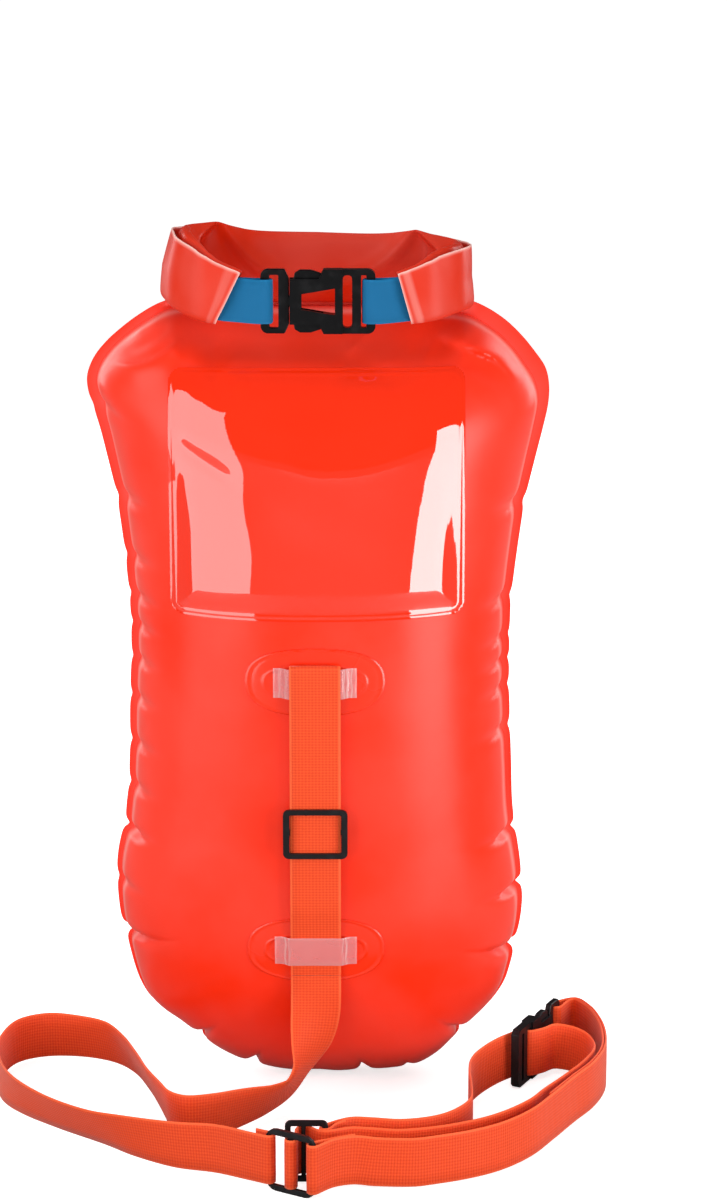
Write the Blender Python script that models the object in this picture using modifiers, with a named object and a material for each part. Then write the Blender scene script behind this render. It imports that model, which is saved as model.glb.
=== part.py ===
"""Open water swim buoy: an inflated roll-top dry bag with a leash and a waist belt.

Metres, +Z up, the bag upright with its front towards -Y and the belt on the floor before it.
"""
import math

import bmesh
import bpy
from mathutils import Matrix, Vector
from mathutils.bvhtree import BVHTree

COLLECTION = "swim_buoy"

# Gap between neighbouring pieces, and how far a cutter runs past what it cuts
GAP = 0.0003
CUT_OVERRUN = 0.002
MERGE = 0.00001

# Driving sizes of the bag
BODY_HEIGHT = 0.556
BODY_HALF_WIDTH = 0.133
FRONT_DEPTH = 0.088
BACK_DEPTH = 0.062
SPINE_LOW = 0.150
SPINE_TOP_GAP = 0.106
SPINE_HIGH = BODY_HEIGHT - SPINE_TOP_GAP
SHEET = 0.0008
MIDDLE_SHEET = 0.0012
RIM_WIDTH = 0.0075
NOTCH_DEPTH = 0.0075
NOTCH_CLEAR_SHARE = 1.7
NECK_SETBACK = 0.022
NECK_RISE = 0.044
NECK_START = BODY_HEIGHT - NECK_RISE
NECK_FLAT_HALF = 0.115
NECK_TURN = 0.050
CENTRE_WELD_HALF_WIDTH = 0.004
LOBE_RISE = 0.045

# Half of the bag's outline from the bottom centre to the neck centre:
# share of the body height, share of the body half width
OUTLINE_SHARES = (
    (0.000, 0.00), (0.000, 0.36), (0.021, 0.62), (0.058, 0.80), (0.090, 0.90), (0.133, 0.985),
    (0.175, 1.045), (0.227, 1.085), (0.270, 1.075), (0.320, 1.02), (0.410, 1.00), (0.576, 0.992),
    (0.647, 1.015), (0.735, 1.04), (0.782, 1.09), (0.847, 1.135), (0.905, 1.19), (0.928, 1.20),
    (0.957, 1.18), (0.978, 1.105), (1.000, 0.97), (1.017, 0.835), (1.020, 0.74), (1.008, 0.60),
    (1.006, 0.38), (1.006, 0.00),
)
# Width of the weld rim up the bag: share of the body height, share of the rim's width at the shoulders
RIM_WIDTH_SHARES = ((0.0, 0.34), (0.11, 0.40), (0.27, 0.56), (0.45, 0.70), (0.76, 0.84), (0.90, 1.0), (1.1, 0.85))
# Where the weld rim is puckered: share of the half outline's length, and shares of the notch depth right and left
NOTCH_SHARES = (
    (0.036, 1.00, 0.00), (0.060, 0.00, 1.20), (0.125, 0.00, 1.07), (0.139, 0.93, 0.00), (0.237, 1.13, 0.00),
    (0.251, 0.00, 1.13), (0.297, 0.67, 0.00), (0.353, 0.47, 0.56),
)
NOTCH_REACH_SHARE = 0.007
OUTLINE_STEPS = 26
OUTLINE_LOOK_SHARE = 0.004
# Rings of a bag sheet, as shares of the way from its middle line to its rim
RING_SHARES = (0.0, 0.08, 0.19, 0.36, 0.55, 0.72, 0.85, 0.94, 0.985, 1.0)
# How much of a notch each ring takes
NOTCH_RING_SHARES = (0.0, 0.0, 0.0, 0.0, 0.0, 0.0, 0.08, 0.50, 0.90, 1.0)
RING_COUNT = len(RING_SHARES) - 1
PROFILE_POWER = 2.3
CURVE_STEPS = 8

# Phone window
WINDOW_HALF_WIDTH = 0.101
WINDOW_TOP_GAP = 0.028
WINDOW_HEIGHT = 0.171
WINDOW_HIGH = BODY_HEIGHT - WINDOW_TOP_GAP
WINDOW_LOW = WINDOW_HIGH - WINDOW_HEIGHT
WINDOW_CORNER = 0.010
WINDOW_SHEET = 0.0006
CORNER_STEPS = 4

# Anchors for the leash
ANCHOR_CENTRE_X = -0.0015
PATCH_HALF_WIDTH = 0.048
PATCH_HALF_HEIGHT = 0.024
PATCH_WINDOW_GAP = 0.018
UPPER_ANCHOR_HEIGHT = WINDOW_LOW - PATCH_WINDOW_GAP - PATCH_HALF_HEIGHT
LOWER_ANCHOR_HEIGHT = 0.122
PATCH_SHEET = 0.0008
PATCH_STEPS = 28
MOULD_SHARE = 1.4
BAND_HALF_LENGTH = 0.0285
BAND_HALF_HEIGHT = 0.0105
BAND_FOOT = 0.007
BAND_SHEET = 0.0010

# Webbing of the leash and the belt, which stands on its edge on the floor
WEBBING_WIDTH = 0.035
WEBBING = 0.0016
WEBBING_STEPS = 2

# Leash on the bag
LEASH_X = -0.0015
LEASH_SEAM_GAP = 0.0004
LEASH_FRONT_LOW = 0.104
LEASH_EASE = 0.012
SLIDER_DROP = 0.009
SLIDER_HEIGHT = (UPPER_ANCHOR_HEIGHT + LOWER_ANCHOR_HEIGHT) / 2.0 - SLIDER_DROP
SLIDER_HALF_LENGTH = 0.0175
SLIDER_HALF_WIDTH = 0.0222
SLIDER_BAR = 0.0036
SLIDER_THICK = 0.0026
SLIDER_MIDDLE_BAR = 0.0040
SLIDER_MIDDLE_THICK = 0.0011
SLIDER_LUG_HALF = 0.0045
SLIDER_CORNER = 0.004

# Free leash: middle of the webbing and the way its width points, from the bag to the belt
LEASH_STATIONS = (
    ((-0.0015, -0.0893, 0.1035), (-1.00, 0.00, 0.00)),
    ((-0.0015, -0.0905, 0.0900), (-1.00, 0.00, 0.00)),
    ((-0.0020, -0.0920, 0.0750), (-0.97, -0.20, 0.00)),
    ((-0.0050, -0.0945, 0.0550), (-0.80, -0.58, 0.02)),
    ((-0.0110, -0.0970, 0.0380), (-0.42, -0.88, 0.22)),
    ((-0.0210, -0.1010, 0.0240), (-0.05, -0.76, 0.66)),
    ((-0.0350, -0.1100, 0.0190), (0.16, -0.50, 0.85)),
    ((-0.0540, -0.1230, 0.0182), (0.10, -0.28, 0.955)),
    ((-0.0720, -0.1350, 0.0182), (0.04, -0.14, 0.99)),
    ((-0.0900, -0.1400, 0.0182), (0.00, -0.08, 0.997)),
    ((-0.1010, -0.1300, 0.0182), (-0.04, -0.20, 0.98)),
    ((-0.1080, -0.1100, 0.0183), (-0.20, -0.10, 0.97)),
    ((-0.1160, -0.0850, 0.0180), (-0.30, -0.12, 0.95)),
    ((-0.1250, -0.0550, 0.0180), (-0.32, -0.12, 0.945)),
    ((-0.1380, -0.0200, 0.0180), (-0.28, -0.16, 0.95)),
    ((-0.1530, 0.0020, 0.0183), (-0.16, -0.16, 0.97)),
    ((-0.1750, 0.0140, 0.0182), (-0.05, -0.16, 0.985)),
    ((-0.2000, 0.0170, 0.0182), (0.05, -0.06, 0.997)),
    ((-0.2200, 0.0050, 0.0182), (0.06, -0.03, 0.998)),
    ((-0.2300, -0.0300, 0.0182), (0.03, 0.00, 0.999)),
    ((-0.2260, -0.0650, 0.0182), (-0.04, -0.06, 0.997)),
    ((-0.2120, -0.0950, 0.0178), (-0.20, -0.24, 0.94)),
    ((-0.1840, -0.1250, 0.0165), (-0.30, -0.36, 0.87)),
    ((-0.1500, -0.1530, 0.0165), (-0.28, -0.38, 0.87)),
    ((-0.1280, -0.1700, 0.0178), (-0.16, -0.26, 0.945)),
    ((-0.0960, -0.1870, 0.0185), (-0.03, -0.10, 0.99)),
    ((-0.0680, -0.1970, 0.0200), (0.00, 0.00, 1.00)),
)

# Front ring of the belt
RING_CENTRE = (-0.0165, -0.2260)
RING_DIRECTION = (0.855, -0.518)
RING_HALF_LENGTH = 0.0193
RING_BAR = 0.0042
RING_THICK = 0.0030
RING_CORNER = 0.008
RING_HEIGHT = 0.044
RING_RAIL = 0.0042
RING_WEBBING_Z = 0.022

# Back adjuster of the belt
ADJUSTER_CENTRE = (-0.0065, -0.2055)
ADJUSTER_HALF_LENGTH = 0.0145
ADJUSTER_BAR = 0.0040
ADJUSTER_MIDDLE_BAR_X = -0.0020
ADJUSTER_MIDDLE_BAR = 0.0030
ADJUSTER_THICK = 0.0024

# Ways of the belt's webbing over the floor
FIXED_START = ((0.0260, -0.2176, 0.0220), (0.0120, -0.2236, 0.0220))
FIXED_ROUTE = (
    (0.0120, -0.2257, 0.0220), (0.0260, -0.2197, 0.0215), (0.0400, -0.2180, 0.0195), (0.0660, -0.2155, 0.0180),
    (0.0780, -0.2120, 0.0180), (0.1030, -0.2020, 0.0180), (0.1250, -0.1880, 0.0180), (0.1460, -0.1650, 0.0180),
    (0.1620, -0.1370, 0.0180), (0.1790, -0.1050, 0.0180), (0.1940, -0.0780, 0.0180), (0.2035, -0.0500, 0.0182),
    (0.2060, -0.0250, 0.0190), (0.2040, 0.0000, 0.0205), (0.1980, 0.0220, 0.0218), (0.1880, 0.0380, 0.0220),
)
FIXED_DOUBLE_FIRST = 8
FIXED_DOUBLE_GAP = 0.0021
ADJUSTING_ROUTE = (
    (-0.0136, -0.2130, 0.0220), (-0.0132, -0.2075, 0.0220), (-0.0112, -0.2036, 0.0220), (-0.0085, -0.2027, 0.0220),
    (-0.0060, -0.2030, 0.0220), (-0.0026, -0.2058, 0.0220), (-0.0002, -0.2086, 0.0220), (0.0026, -0.2106, 0.0220),
    (0.0062, -0.2114, 0.0220), (0.0105, -0.2106, 0.0220), (0.0150, -0.2082, 0.0218), (0.0230, -0.2040, 0.0212),
    (0.0360, -0.2022, 0.0200), (0.0540, -0.2015, 0.0185), (0.0760, -0.1965, 0.0180), (0.1000, -0.1870, 0.0180),
    (0.1230, -0.1720, 0.0180), (0.1450, -0.1480, 0.0180), (0.1570, -0.1270, 0.0180), (0.1730, -0.1010, 0.0180),
    (0.1880, -0.0740, 0.0180), (0.1965, -0.0500, 0.0185), (0.1935, -0.0300, 0.0195), (0.1840, -0.0190, 0.0208),
    (0.1705, -0.0150, 0.0218),
)
ADJUSTING_AT_BUCKLE = (
    (0.0120, 0.0108), (0.0190, 0.0068), (0.0222, 0.0036), (0.0227, 0.0000), (0.0227, -0.0030),
    (0.0240, -0.0050), (0.0270, -0.0056), (0.0310, -0.0066),
)
ADJUSTING_RETURN = (
    (0.1290, -0.0400, 0.0212), (0.1180, -0.0520, 0.0195), (0.1090, -0.0680, 0.0182), (0.1060, -0.0900, 0.0180),
    (0.1065, -0.1200, 0.0180), (0.1050, -0.1450, 0.0180), (0.0930, -0.1660, 0.0180), (0.0790, -0.1770, 0.0180),
    (0.0570, -0.1840, 0.0185), (0.0380, -0.1850, 0.0200), (0.0240, -0.1875, 0.0215), (0.0150, -0.1930, 0.0220),
)
ADJUSTING_END = ((0.0135, -0.1985, 0.0220), (0.0195, -0.1931, 0.0220))
LOOP_STEPS = 7
RING_LOOP_RADIUS = 0.0037
ADJUSTER_LOOP_RADIUS = 0.0035
MALE_LOOP_RADIUS = 0.0047

# Roll top: middle of the roll from the back centre to the front end, its rise above the body, its height
ROLL_STATIONS = (
    (0.000, 0.022, 0.0280, 0.048), (0.050, 0.022, 0.0280, 0.048), (0.082, 0.016, 0.0320, 0.048),
    (0.100, -0.004, 0.0380, 0.046), (0.104, -0.028, 0.0380, 0.044), (0.095, -0.050, 0.0320, 0.042),
    (0.077, -0.0605, 0.0230, 0.038), (0.0628, -0.0625, 0.0192, 0.034), (0.045, -0.0625, 0.0178, 0.033),
    (0.036, -0.0625, 0.0176, 0.032),
)
ROLL_END_STATION = 7
ROLL_THICK = 0.014
ROLL_WALL = 0.0010
ROLL_SIDES = 6
ROLL_STEPS = 2
STIFFENER_WIDTH = 0.025
STIFFENER = 0.0012
STIFFENER_SPACING = 0.0062
STIFFENER_INSET_STATION = 6.6

# Closure straps
CLOSURE_STRAP_WIDTH = 0.030
CLOSURE_STRAP = 0.0014
CLOSURE_STRAP_SPACING = 0.0017
CLOSURE_STRAP_START = 6.4
CLOSURE_HOLD_SHARE = 0.82
CLOSURE_HOLD = {"left": 0.006, "right": 0.007}

# Side release buckles: along x from the male end to the female end
BUCKLE_RISE = 0.0175
BUCKLE_CENTRE = (0.0000, -0.0625, BODY_HEIGHT + BUCKLE_RISE)
BUCKLE_MALE_END = -0.0375
BUCKLE_MALE_SLOT = (-0.0315, -0.0255)
BUCKLE_MALE_FACE = -0.0183
BUCKLE_FEMALE_FACE = -0.0180
BUCKLE_SHOULDER = 0.0048
BUCKLE_FEMALE_SLOT = (0.0178, 0.0240)
BUCKLE_THIN_SLOT = (0.0301, 0.0336)
BUCKLE_FEMALE_END = 0.0397
BUCKLE_HALF_HEIGHT = 0.0218
BUCKLE_WAIST = 0.0154
BUCKLE_SLOT_HALF = 0.0178
BUCKLE_BODY_HALF_THICK = 0.0045
BUCKLE_BAR_HALF_THICK = 0.0030
BUCKLE_MALE_HALF_THICK = 0.0022
BUCKLE_CAVITY_HALF_THICK = 0.0028
BUCKLE_TONGUE_HALF = 0.0032
BUCKLE_TONGUE_END = -0.0125
BUCKLE_CORNER = 0.0030
BUCKLE_WINDOW = ((-0.0100, 0.0052), (0.0125, 0.0090))
ARM_OUTLINE = (
    (-0.0176, 0.0055), (-0.0144, 0.0060), (-0.0090, 0.0090), (0.0000, 0.0110), (0.0042, 0.0120),
    (0.0044, 0.0160), (0.0030, 0.0190), (-0.0040, 0.0212), (-0.0110, 0.0212), (-0.0146, 0.0190),
    (-0.0152, 0.0160), (-0.0160, 0.0135), (-0.0180, 0.0115), (-0.0180, 0.0070),
)
ARM_HALF_THICK = 0.0022
BELT_BUCKLE_END = (0.1400, -0.0430)
BELT_BUCKLE_DIRECTION = (0.4392, 0.8984)
BELT_BUCKLE_Z = 0.0222

# Inflation valves on the back, one for each air cell
VALVE_X = 0.062
VALVE_TOP_GAP = 0.176
VALVE_Z = BODY_HEIGHT - VALVE_TOP_GAP
VALVE_FLANGE_RADIUS = 0.016
VALVE_REACH_SHARE = 2.2
VALVE_FLANGE = 0.0010
VALVE_TUBE_RADIUS = 0.0065
VALVE_TUBE_WALL = 0.0014
VALVE_TUBE_IN = 0.006
VALVE_TUBE_OUT = 0.022
VALVE_COLLAR_RADIUS = 0.0095
VALVE_COLLAR = 0.0020
VALVE_CAP_RADIUS = 0.0092
VALVE_CAP_BORE = 0.0030
VALVE_CAP_LENGTH = 0.012
VALVE_CAP_LIP = 0.0024
VALVE_FLAP = 0.0008
VALVE_FLAP_RADIUS = 0.0060
VALVE_SIDES = 20

# Colours of the CAD materials
ORANGE_SHEET = (0.90, 0.10, 0.03, 1.0)
ORANGE_WEBBING = (0.88, 0.13, 0.04, 1.0)
BLACK_PLASTIC = (0.015, 0.015, 0.017, 1.0)
BLUE_WEBBING = (0.02, 0.22, 0.50, 1.0)
CLEAR_SHEET = (0.86, 0.62, 0.62, 1.0)
PALE_STIFFENER = (0.70, 0.70, 0.68, 1.0)


def clear_scene():
    for item in list(bpy.data.objects):
        bpy.data.objects.remove(item, do_unlink=True)


def new_collection(name):
    group = bpy.data.collections.new(name)
    bpy.context.scene.collection.children.link(group)
    return group


def new_material(name, colour, roughness):
    made = bpy.data.materials.new(name)
    made.use_nodes = True
    shader = made.node_tree.nodes["Principled BSDF"]
    shader.inputs["Base Color"].default_value = colour
    shader.inputs["Roughness"].default_value = roughness
    shader.inputs["Metallic"].default_value = 0.0
    return made


def mesh_object(group, name, points, faces, colour, roughness, smooth=True):
    """An object from points and faces, with its own material."""
    mesh = bpy.data.meshes.new(name)
    mesh.from_pydata([tuple(point) for point in points], [], faces)
    work = bmesh.new()
    work.from_mesh(mesh)
    bmesh.ops.remove_doubles(work, verts=work.verts, dist=MERGE)
    work.to_mesh(mesh)
    work.free()
    if smooth:
        mesh.shade_smooth()
        mesh.set_sharp_from_angle(angle=math.radians(35.0))
    made = bpy.data.objects.new(name, mesh)
    if colour is not None:
        mesh.materials.append(new_material(name, colour, roughness))
    group.objects.link(made)
    return made


def catmull(points, steps):
    """Smooth way through points of any dimension."""
    count = len(points)
    smooth = []
    for index in range(count - 1):
        before = points[max(index - 1, 0)]
        start = points[index]
        end = points[index + 1]
        after = points[min(index + 2, count - 1)]
        for step in range(steps):
            share = step / steps
            row = []
            for a, b, c, d in zip(before, start, end, after):
                slope_in = (c - a) / 2.0
                slope_out = (d - b) / 2.0
                cube = 2.0 * b - 2.0 * c + slope_in + slope_out
                square = 3.0 * c - 3.0 * b - 2.0 * slope_in - slope_out
                row.append(((cube * share + square) * share + slope_in) * share + b)
            smooth.append(tuple(row))
    smooth.append(tuple(points[-1]))
    return smooth


def resample(points, positions):
    """Points of a polyline at shares of its length."""
    lengths = [0.0]
    for first, second in zip(points, points[1:]):
        lengths.append(lengths[-1] + math.dist(first, second))
    found = []
    index = 0
    for share in positions:
        goal = share * lengths[-1]
        while index < len(points) - 2 and lengths[index + 1] < goal:
            index += 1
        part = (goal - lengths[index]) / (lengths[index + 1] - lengths[index])
        row = [a + (b - a) * part for a, b in zip(points[index], points[index + 1])]
        found.append(tuple(row))
    return found, lengths[-1]


def rim_width_at(z):
    """Width of the flat weld rim at a height."""
    share = z / BODY_HEIGHT
    for (low, first), (high, second) in zip(RIM_WIDTH_SHARES, RIM_WIDTH_SHARES[1:]):
        if share <= high:
            part = max((share - low) / (high - low), 0.0)
            return RIM_WIDTH * (first + (second - first) * part)
    return RIM_WIDTH * RIM_WIDTH_SHARES[-1][1]


def bag_outline(side):
    """Samples of the right (side 1) or left (side 2) outline, as if on the right: seam and rim's inner line
    without notches, the seam's setback, the height on the middle line, and the notch."""
    corners = [(width * BODY_HALF_WIDTH, height * BODY_HEIGHT) for height, width in OUTLINE_SHARES]
    dense = catmull(corners, CURVE_STEPS)
    positions = [step / OUTLINE_STEPS for step in range(OUTLINE_STEPS + 1)]
    reach = NOTCH_REACH_SHARE
    for row in NOTCH_SHARES:
        positions = [item for item in positions if abs(item - row[0]) > reach * NOTCH_CLEAR_SHARE]
        positions += [row[0] - reach, row[0], row[0] + reach]
    positions = sorted({round(item, 6) for item in positions})
    points = resample(dense, positions)[0]
    ahead = resample(dense, [min(item + OUTLINE_LOOK_SHARE, 1.0) for item in positions])[0]
    behind = resample(dense, [max(item - OUTLINE_LOOK_SHARE, 0.0) for item in positions])[0]
    rows = []
    for share, point, after, before in zip(positions, points, ahead, behind):
        way = Vector((after[0] - before[0], after[1] - before[1])).normalized()
        inward = Vector((-way.y, way.x))
        place = Vector((point[0], max(point[1], 0.0)))
        rim = inward * rim_width_at(place.y)
        start = min(max(place.y + rim.y, SPINE_LOW), SPINE_HIGH)
        notch = Vector((0.0, 0.0))
        for row in NOTCH_SHARES:
            if abs(share - row[0]) < 1e-9:
                notch = inward * (NOTCH_DEPTH * row[side])
        rows.append((place, place + rim, neck_setback(point[0], point[1]), start, notch))
    rows[0][1].x = 0.0
    rows[-1][1].x = 0.0
    return rows


def ease(share):
    share = min(max(share, 0.0), 1.0)
    return share * share * (3.0 - 2.0 * share)


def neck_setback(x, z):
    across = ease((NECK_FLAT_HALF - abs(x)) / NECK_TURN)
    upward = ease((z - NECK_START) / (BODY_HEIGHT - NECK_START))
    return NECK_SETBACK * across * upward


def sheet_points(depth, way, lobed, offset):
    """Grid of one bag sheet: rings from the spine to the rim; way is -1 for front, 1 for back."""
    rows = bag_outline(1)
    mirrored = []
    for place, inner, setback, start, notch in bag_outline(2)[1:-1]:
        moved = Vector((-notch.x, notch.y))
        mirrored.append((Vector((-place.x, place.y)), Vector((-inner.x, inner.y)), setback, start, moved))
    around = rows + mirrored[::-1]
    points = []
    for place, inner, setback, start, notch in around:
        spine = Vector((0.0, start))
        for ring in range(RING_COUNT + 2):
            if ring <= RING_COUNT:
                share = RING_SHARES[ring]
                flat = spine + (inner - spine) * share + notch * NOTCH_RING_SHARES[ring]
            else:
                share = 1.0
                flat = place + notch
            bulge = depth * math.sqrt(max(1.0 - share ** PROFILE_POWER, 0.0))
            if lobed:
                rise = (abs(flat.x) - CENTRE_WELD_HALF_WIDTH) / LOBE_RISE
                rise = min(max(rise, 0.0), 1.0)
                bulge = bulge * math.sin(math.pi / 2.0 * rise)
            points.append((flat.x, setback * share * share + way * (offset + bulge), flat.y))
    return points, len(around)


def sheet_faces(count, turned):
    stride = RING_COUNT + 2
    faces = []
    for index in range(count):
        following = (index + 1) % count
        for ring in range(stride - 1):
            a = index * stride + ring
            b = following * stride + ring
            if not turned:
                faces.append((a, a + 1, b + 1))
                faces.append((a, b + 1, b))
            else:
                faces.append((a, b + 1, a + 1))
                faces.append((a, b, b + 1))
    return faces


def thicken(item, thickness, side):
    made = item.modifiers.new("thickness", "SOLIDIFY")
    made.thickness = thickness
    made.offset = side
    return made


def cut(item, cutter, operation="DIFFERENCE"):
    cutter.hide_render = True
    cutter.display_type = "WIRE"
    made = item.modifiers.new(operation.lower(), "BOOLEAN")
    made.operation = operation
    made.solver = "EXACT"
    made.object = cutter
    return made


def prism(group, name, outline, low, high, matrix):
    """A prism over an outline in its own x and y, from low to high along its own z."""
    count = len(outline)
    points = [matrix @ Vector((x, y, low)) for x, y in outline]
    points += [matrix @ Vector((x, y, high)) for x, y in outline]
    faces = [tuple(range(count))[::-1], tuple(range(count, 2 * count))]
    faces += [(i, (i + 1) % count, count + (i + 1) % count, count + i) for i in range(count)]
    made = mesh_object(group, name, points, faces, None, 0.5)
    return made


def facing_front(depth):
    """Frame whose own x is +X, own y is +Z and own z runs towards -Y from a depth."""
    return Matrix(((1, 0, 0, 0), (0, 0, -1, depth), (0, 1, 0, 0), (0, 0, 0, 1)))


def rounded_box(x_low, x_high, y_low, y_high, corner, steps):
    rows = []
    turns = ((x_high, y_high, 0.0), (x_low, y_high, 90.0), (x_low, y_low, 180.0), (x_high, y_low, 270.0))
    for x, y, start in turns:
        middle_x = x - corner if x == x_high else x + corner
        middle_y = y - corner if y == y_high else y + corner
        for step in range(steps + 1):
            angle = math.radians(start + 90.0 * step / steps)
            rows.append((middle_x + corner * math.cos(angle), middle_y + corner * math.sin(angle)))
    return rows


def oval(centre_x, centre_y, half_x, half_y, steps):
    rows = []
    for step in range(steps):
        angle = math.tau * step / steps
        rows.append((centre_x + half_x * math.cos(angle), centre_y + half_y * math.sin(angle)))
    return rows


def sheet_near(points, faces, low, high):
    """Faces of a sheet that lie near a box in x and z."""
    kept = []
    for face in faces:
        xs = [points[i][0] for i in face]
        zs = [points[i][2] for i in face]
        if max(xs) >= low[0] and min(xs) <= high[0] and max(zs) >= low[1] and min(zs) <= high[1]:
            kept.append(face)
    return kept


def patch_object(group, cutters, name, base, outline, lift, thickness, front, colour, roughness):
    """A piece of sheet that lies on a bag sheet inside an outline in x and z."""
    points, faces = base
    reach = 2.0 * RIM_WIDTH
    low = (min(x for x, z in outline) - reach, min(z for x, z in outline) - reach)
    high = (max(x for x, z in outline) + reach, max(z for x, z in outline) + reach)
    kept = sheet_near(points, faces, low, high)
    normals = sheet_normals(points, faces)
    lifted = [Vector(point) + normal * lift for point, normal in zip(points, normals)]
    raised = [Vector(point) + normal * (lift + thickness) for point, normal in zip(points, normals)]
    made = two_skin_object(group, name, lifted, raised, kept, colour, roughness)
    depth = FRONT_DEPTH if front else BACK_DEPTH
    frame = facing_front(0.0)
    if front:
        mould = prism(cutters, name + "_outline", outline, CUT_OVERRUN, depth * MOULD_SHARE, frame)
    else:
        mould = prism(cutters, name + "_outline", outline, -depth * MOULD_SHARE, -CUT_OVERRUN, frame)
    cut(made, mould, "INTERSECT")
    return made


def sheet_normals(points, faces):
    """Outward vertex normals of a sheet grid, shared by points that coincide."""
    sums = {}
    keys = [(round(x, 6), round(y, 6), round(z, 6)) for x, y, z in points]
    for face in faces:
        a, b, c = [Vector(points[i]) for i in face]
        normal = (b - a).cross(c - a)
        for i in face:
            sums[keys[i]] = sums.get(keys[i], Vector((0.0, 0.0, 0.0))) + normal
    found = []
    for key in keys:
        total = sums.get(key, Vector((0.0, 1.0, 0.0)))
        found.append(total.normalized() if total.length > 0.0 else Vector((0.0, 1.0, 0.0)))
    return found


def two_skin_object(group, name, inner, outer, faces, colour, roughness):
    """Closed body between two matching skins; faces wind outward on the outer skin."""
    merged = {}
    order = []
    for index, point in enumerate(inner):
        key = (round(point[0], 6), round(point[1], 6), round(point[2], 6))
        merged.setdefault(key, index)
        order.append(merged[key])
    joined = []
    for face in faces:
        ids = [order[i] for i in face]
        if len(set(ids)) == 3:
            joined.append(tuple(ids))
    edges = {}
    for face in joined:
        for a, b in ((face[0], face[1]), (face[1], face[2]), (face[2], face[0])):
            edges[(a, b)] = True
    used = sorted({i for face in joined for i in face})
    lower = {old: new for new, old in enumerate(used)}
    count = len(used)
    points = [inner[i] for i in used] + [outer[i] for i in used]
    body = [tuple(lower[i] for i in face[::-1]) for face in joined]
    body += [tuple(lower[i] + count for i in face) for face in joined]
    for a, b in edges:
        if (b, a) not in edges:
            body.append((lower[a], lower[b], lower[b] + count, lower[a] + count))
    mesh = bpy.data.meshes.new(name)
    mesh.from_pydata([tuple(point) for point in points], [], body)
    mesh.shade_smooth()
    mesh.set_sharp_from_angle(angle=math.radians(50.0))
    made = bpy.data.objects.new(name, mesh)
    mesh.materials.append(new_material(name, colour, roughness))
    group.objects.link(made)
    return made


def sheet_object(group, name, base, thickness, colour, roughness):
    points, faces = base
    normals = sheet_normals(points, faces)
    inner = [Vector(point) for point in points]
    outer = [Vector(point) + normal * thickness for point, normal in zip(points, normals)]
    return two_skin_object(group, name, inner, outer, faces, colour, roughness)


def middle_sheet_object(group, name, colour, roughness):
    """The flat sheet in the seam plane, from the same grid without any bulge."""
    front, count = sheet_points(0.0, -1.0, False, MIDDLE_SHEET / 2.0)
    back = sheet_points(0.0, 1.0, False, MIDDLE_SHEET / 2.0)[0]
    faces = sheet_faces(count, True)
    inner = [Vector(point) for point in front]
    outer = [Vector(point) for point in back]
    return two_skin_object(group, name, inner, outer, faces, colour, roughness)


def ribbon(group, name, centres, acrosses, width, thickness, colour, roughness):
    """A flat band along a way: middle points and the ways its width points."""
    count = len(centres)
    middles = [Vector(point) for point in centres]
    ring = []
    for index in range(count):
        ahead = middles[min(index + 1, count - 1)]
        behind = middles[max(index - 1, 0)]
        way = (ahead - behind).normalized()
        across = Vector(acrosses[index])
        across = (across - way * across.dot(way)).normalized()
        normal = way.cross(across).normalized()
        side = across * (width / 2.0)
        skin = normal * (thickness / 2.0)
        ring.append([middles[index] - side - skin, middles[index] + side - skin])
        ring[-1] += [middles[index] + side + skin, middles[index] - side + skin]
    points = [point for row in ring for point in row]
    faces = [(3, 2, 1, 0)]
    for index in range(count - 1):
        base = index * 4
        for corner in range(4):
            following = (corner + 1) % 4
            faces.append((base + corner, base + following, base + 4 + following, base + 4 + corner))
    last = (count - 1) * 4
    faces.append((last, last + 1, last + 2, last + 3))
    return mesh_object(group, name, points, faces, colour, roughness)


def floor_ribbon(group, name, route, width, thickness, colour, roughness):
    """A band that stands on its edge along a way."""
    acrosses = [(0.0, 0.0, 1.0)] * len(route)
    return ribbon(group, name, route, acrosses, width, thickness, colour, roughness)


def loop_points(centre, away, radius, steps, height, clockwise):
    """Half turn round a bar, open towards the way the band leaves."""
    start = math.atan2(away[1], away[0])
    turn = -1.0 if clockwise else 1.0
    rows = []
    for step in range(steps + 1):
        angle = start + turn * (math.pi / 2.0 + math.pi * step / steps)
        rows.append((centre[0] + radius * math.cos(angle), centre[1] + radius * math.sin(angle), height))
    return rows


def offset_route(route, distance):
    """The same way moved to its left in plan."""
    rows = []
    count = len(route)
    for index in range(count):
        ahead = route[min(index + 1, count - 1)]
        behind = route[max(index - 1, 0)]
        way = Vector((ahead[0] - behind[0], ahead[1] - behind[1])).normalized()
        x, y, z = route[index]
        rows.append((x - way.y * distance, y + way.x * distance, z))
    return rows


def frame_object(group, cutters, name, outline, holes, thickness, matrix, bevel, colour, roughness):
    """A flat plastic frame: outline extruded both ways, holes cut through."""
    half = thickness / 2.0
    made = prism(group, name, outline, -half, half, matrix)
    made.data.materials.append(new_material(name, colour, roughness))
    for number, hole in enumerate(holes):
        reach = half + CUT_OVERRUN
        cutter = prism(cutters, name + "_hole_" + str(number), hole, -reach, reach, matrix)
        cut(made, cutter)
    rounding = made.modifiers.new("rounding", "BEVEL")
    rounding.width = bevel
    rounding.segments = 1
    rounding.limit_method = "ANGLE"
    rounding.angle_limit = math.radians(50.0)
    return made


def upright_frame(centre, direction, height):
    """Frame with own x along a way in plan, own y up and own z sideways."""
    x, y = direction
    size = math.hypot(x, y)
    x, y = x / size, y / size
    return Matrix(((x, 0, y, centre[0]), (y, 0, -x, centre[1]), (0, 1, 0, height), (0, 0, 0, 1)))


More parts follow.
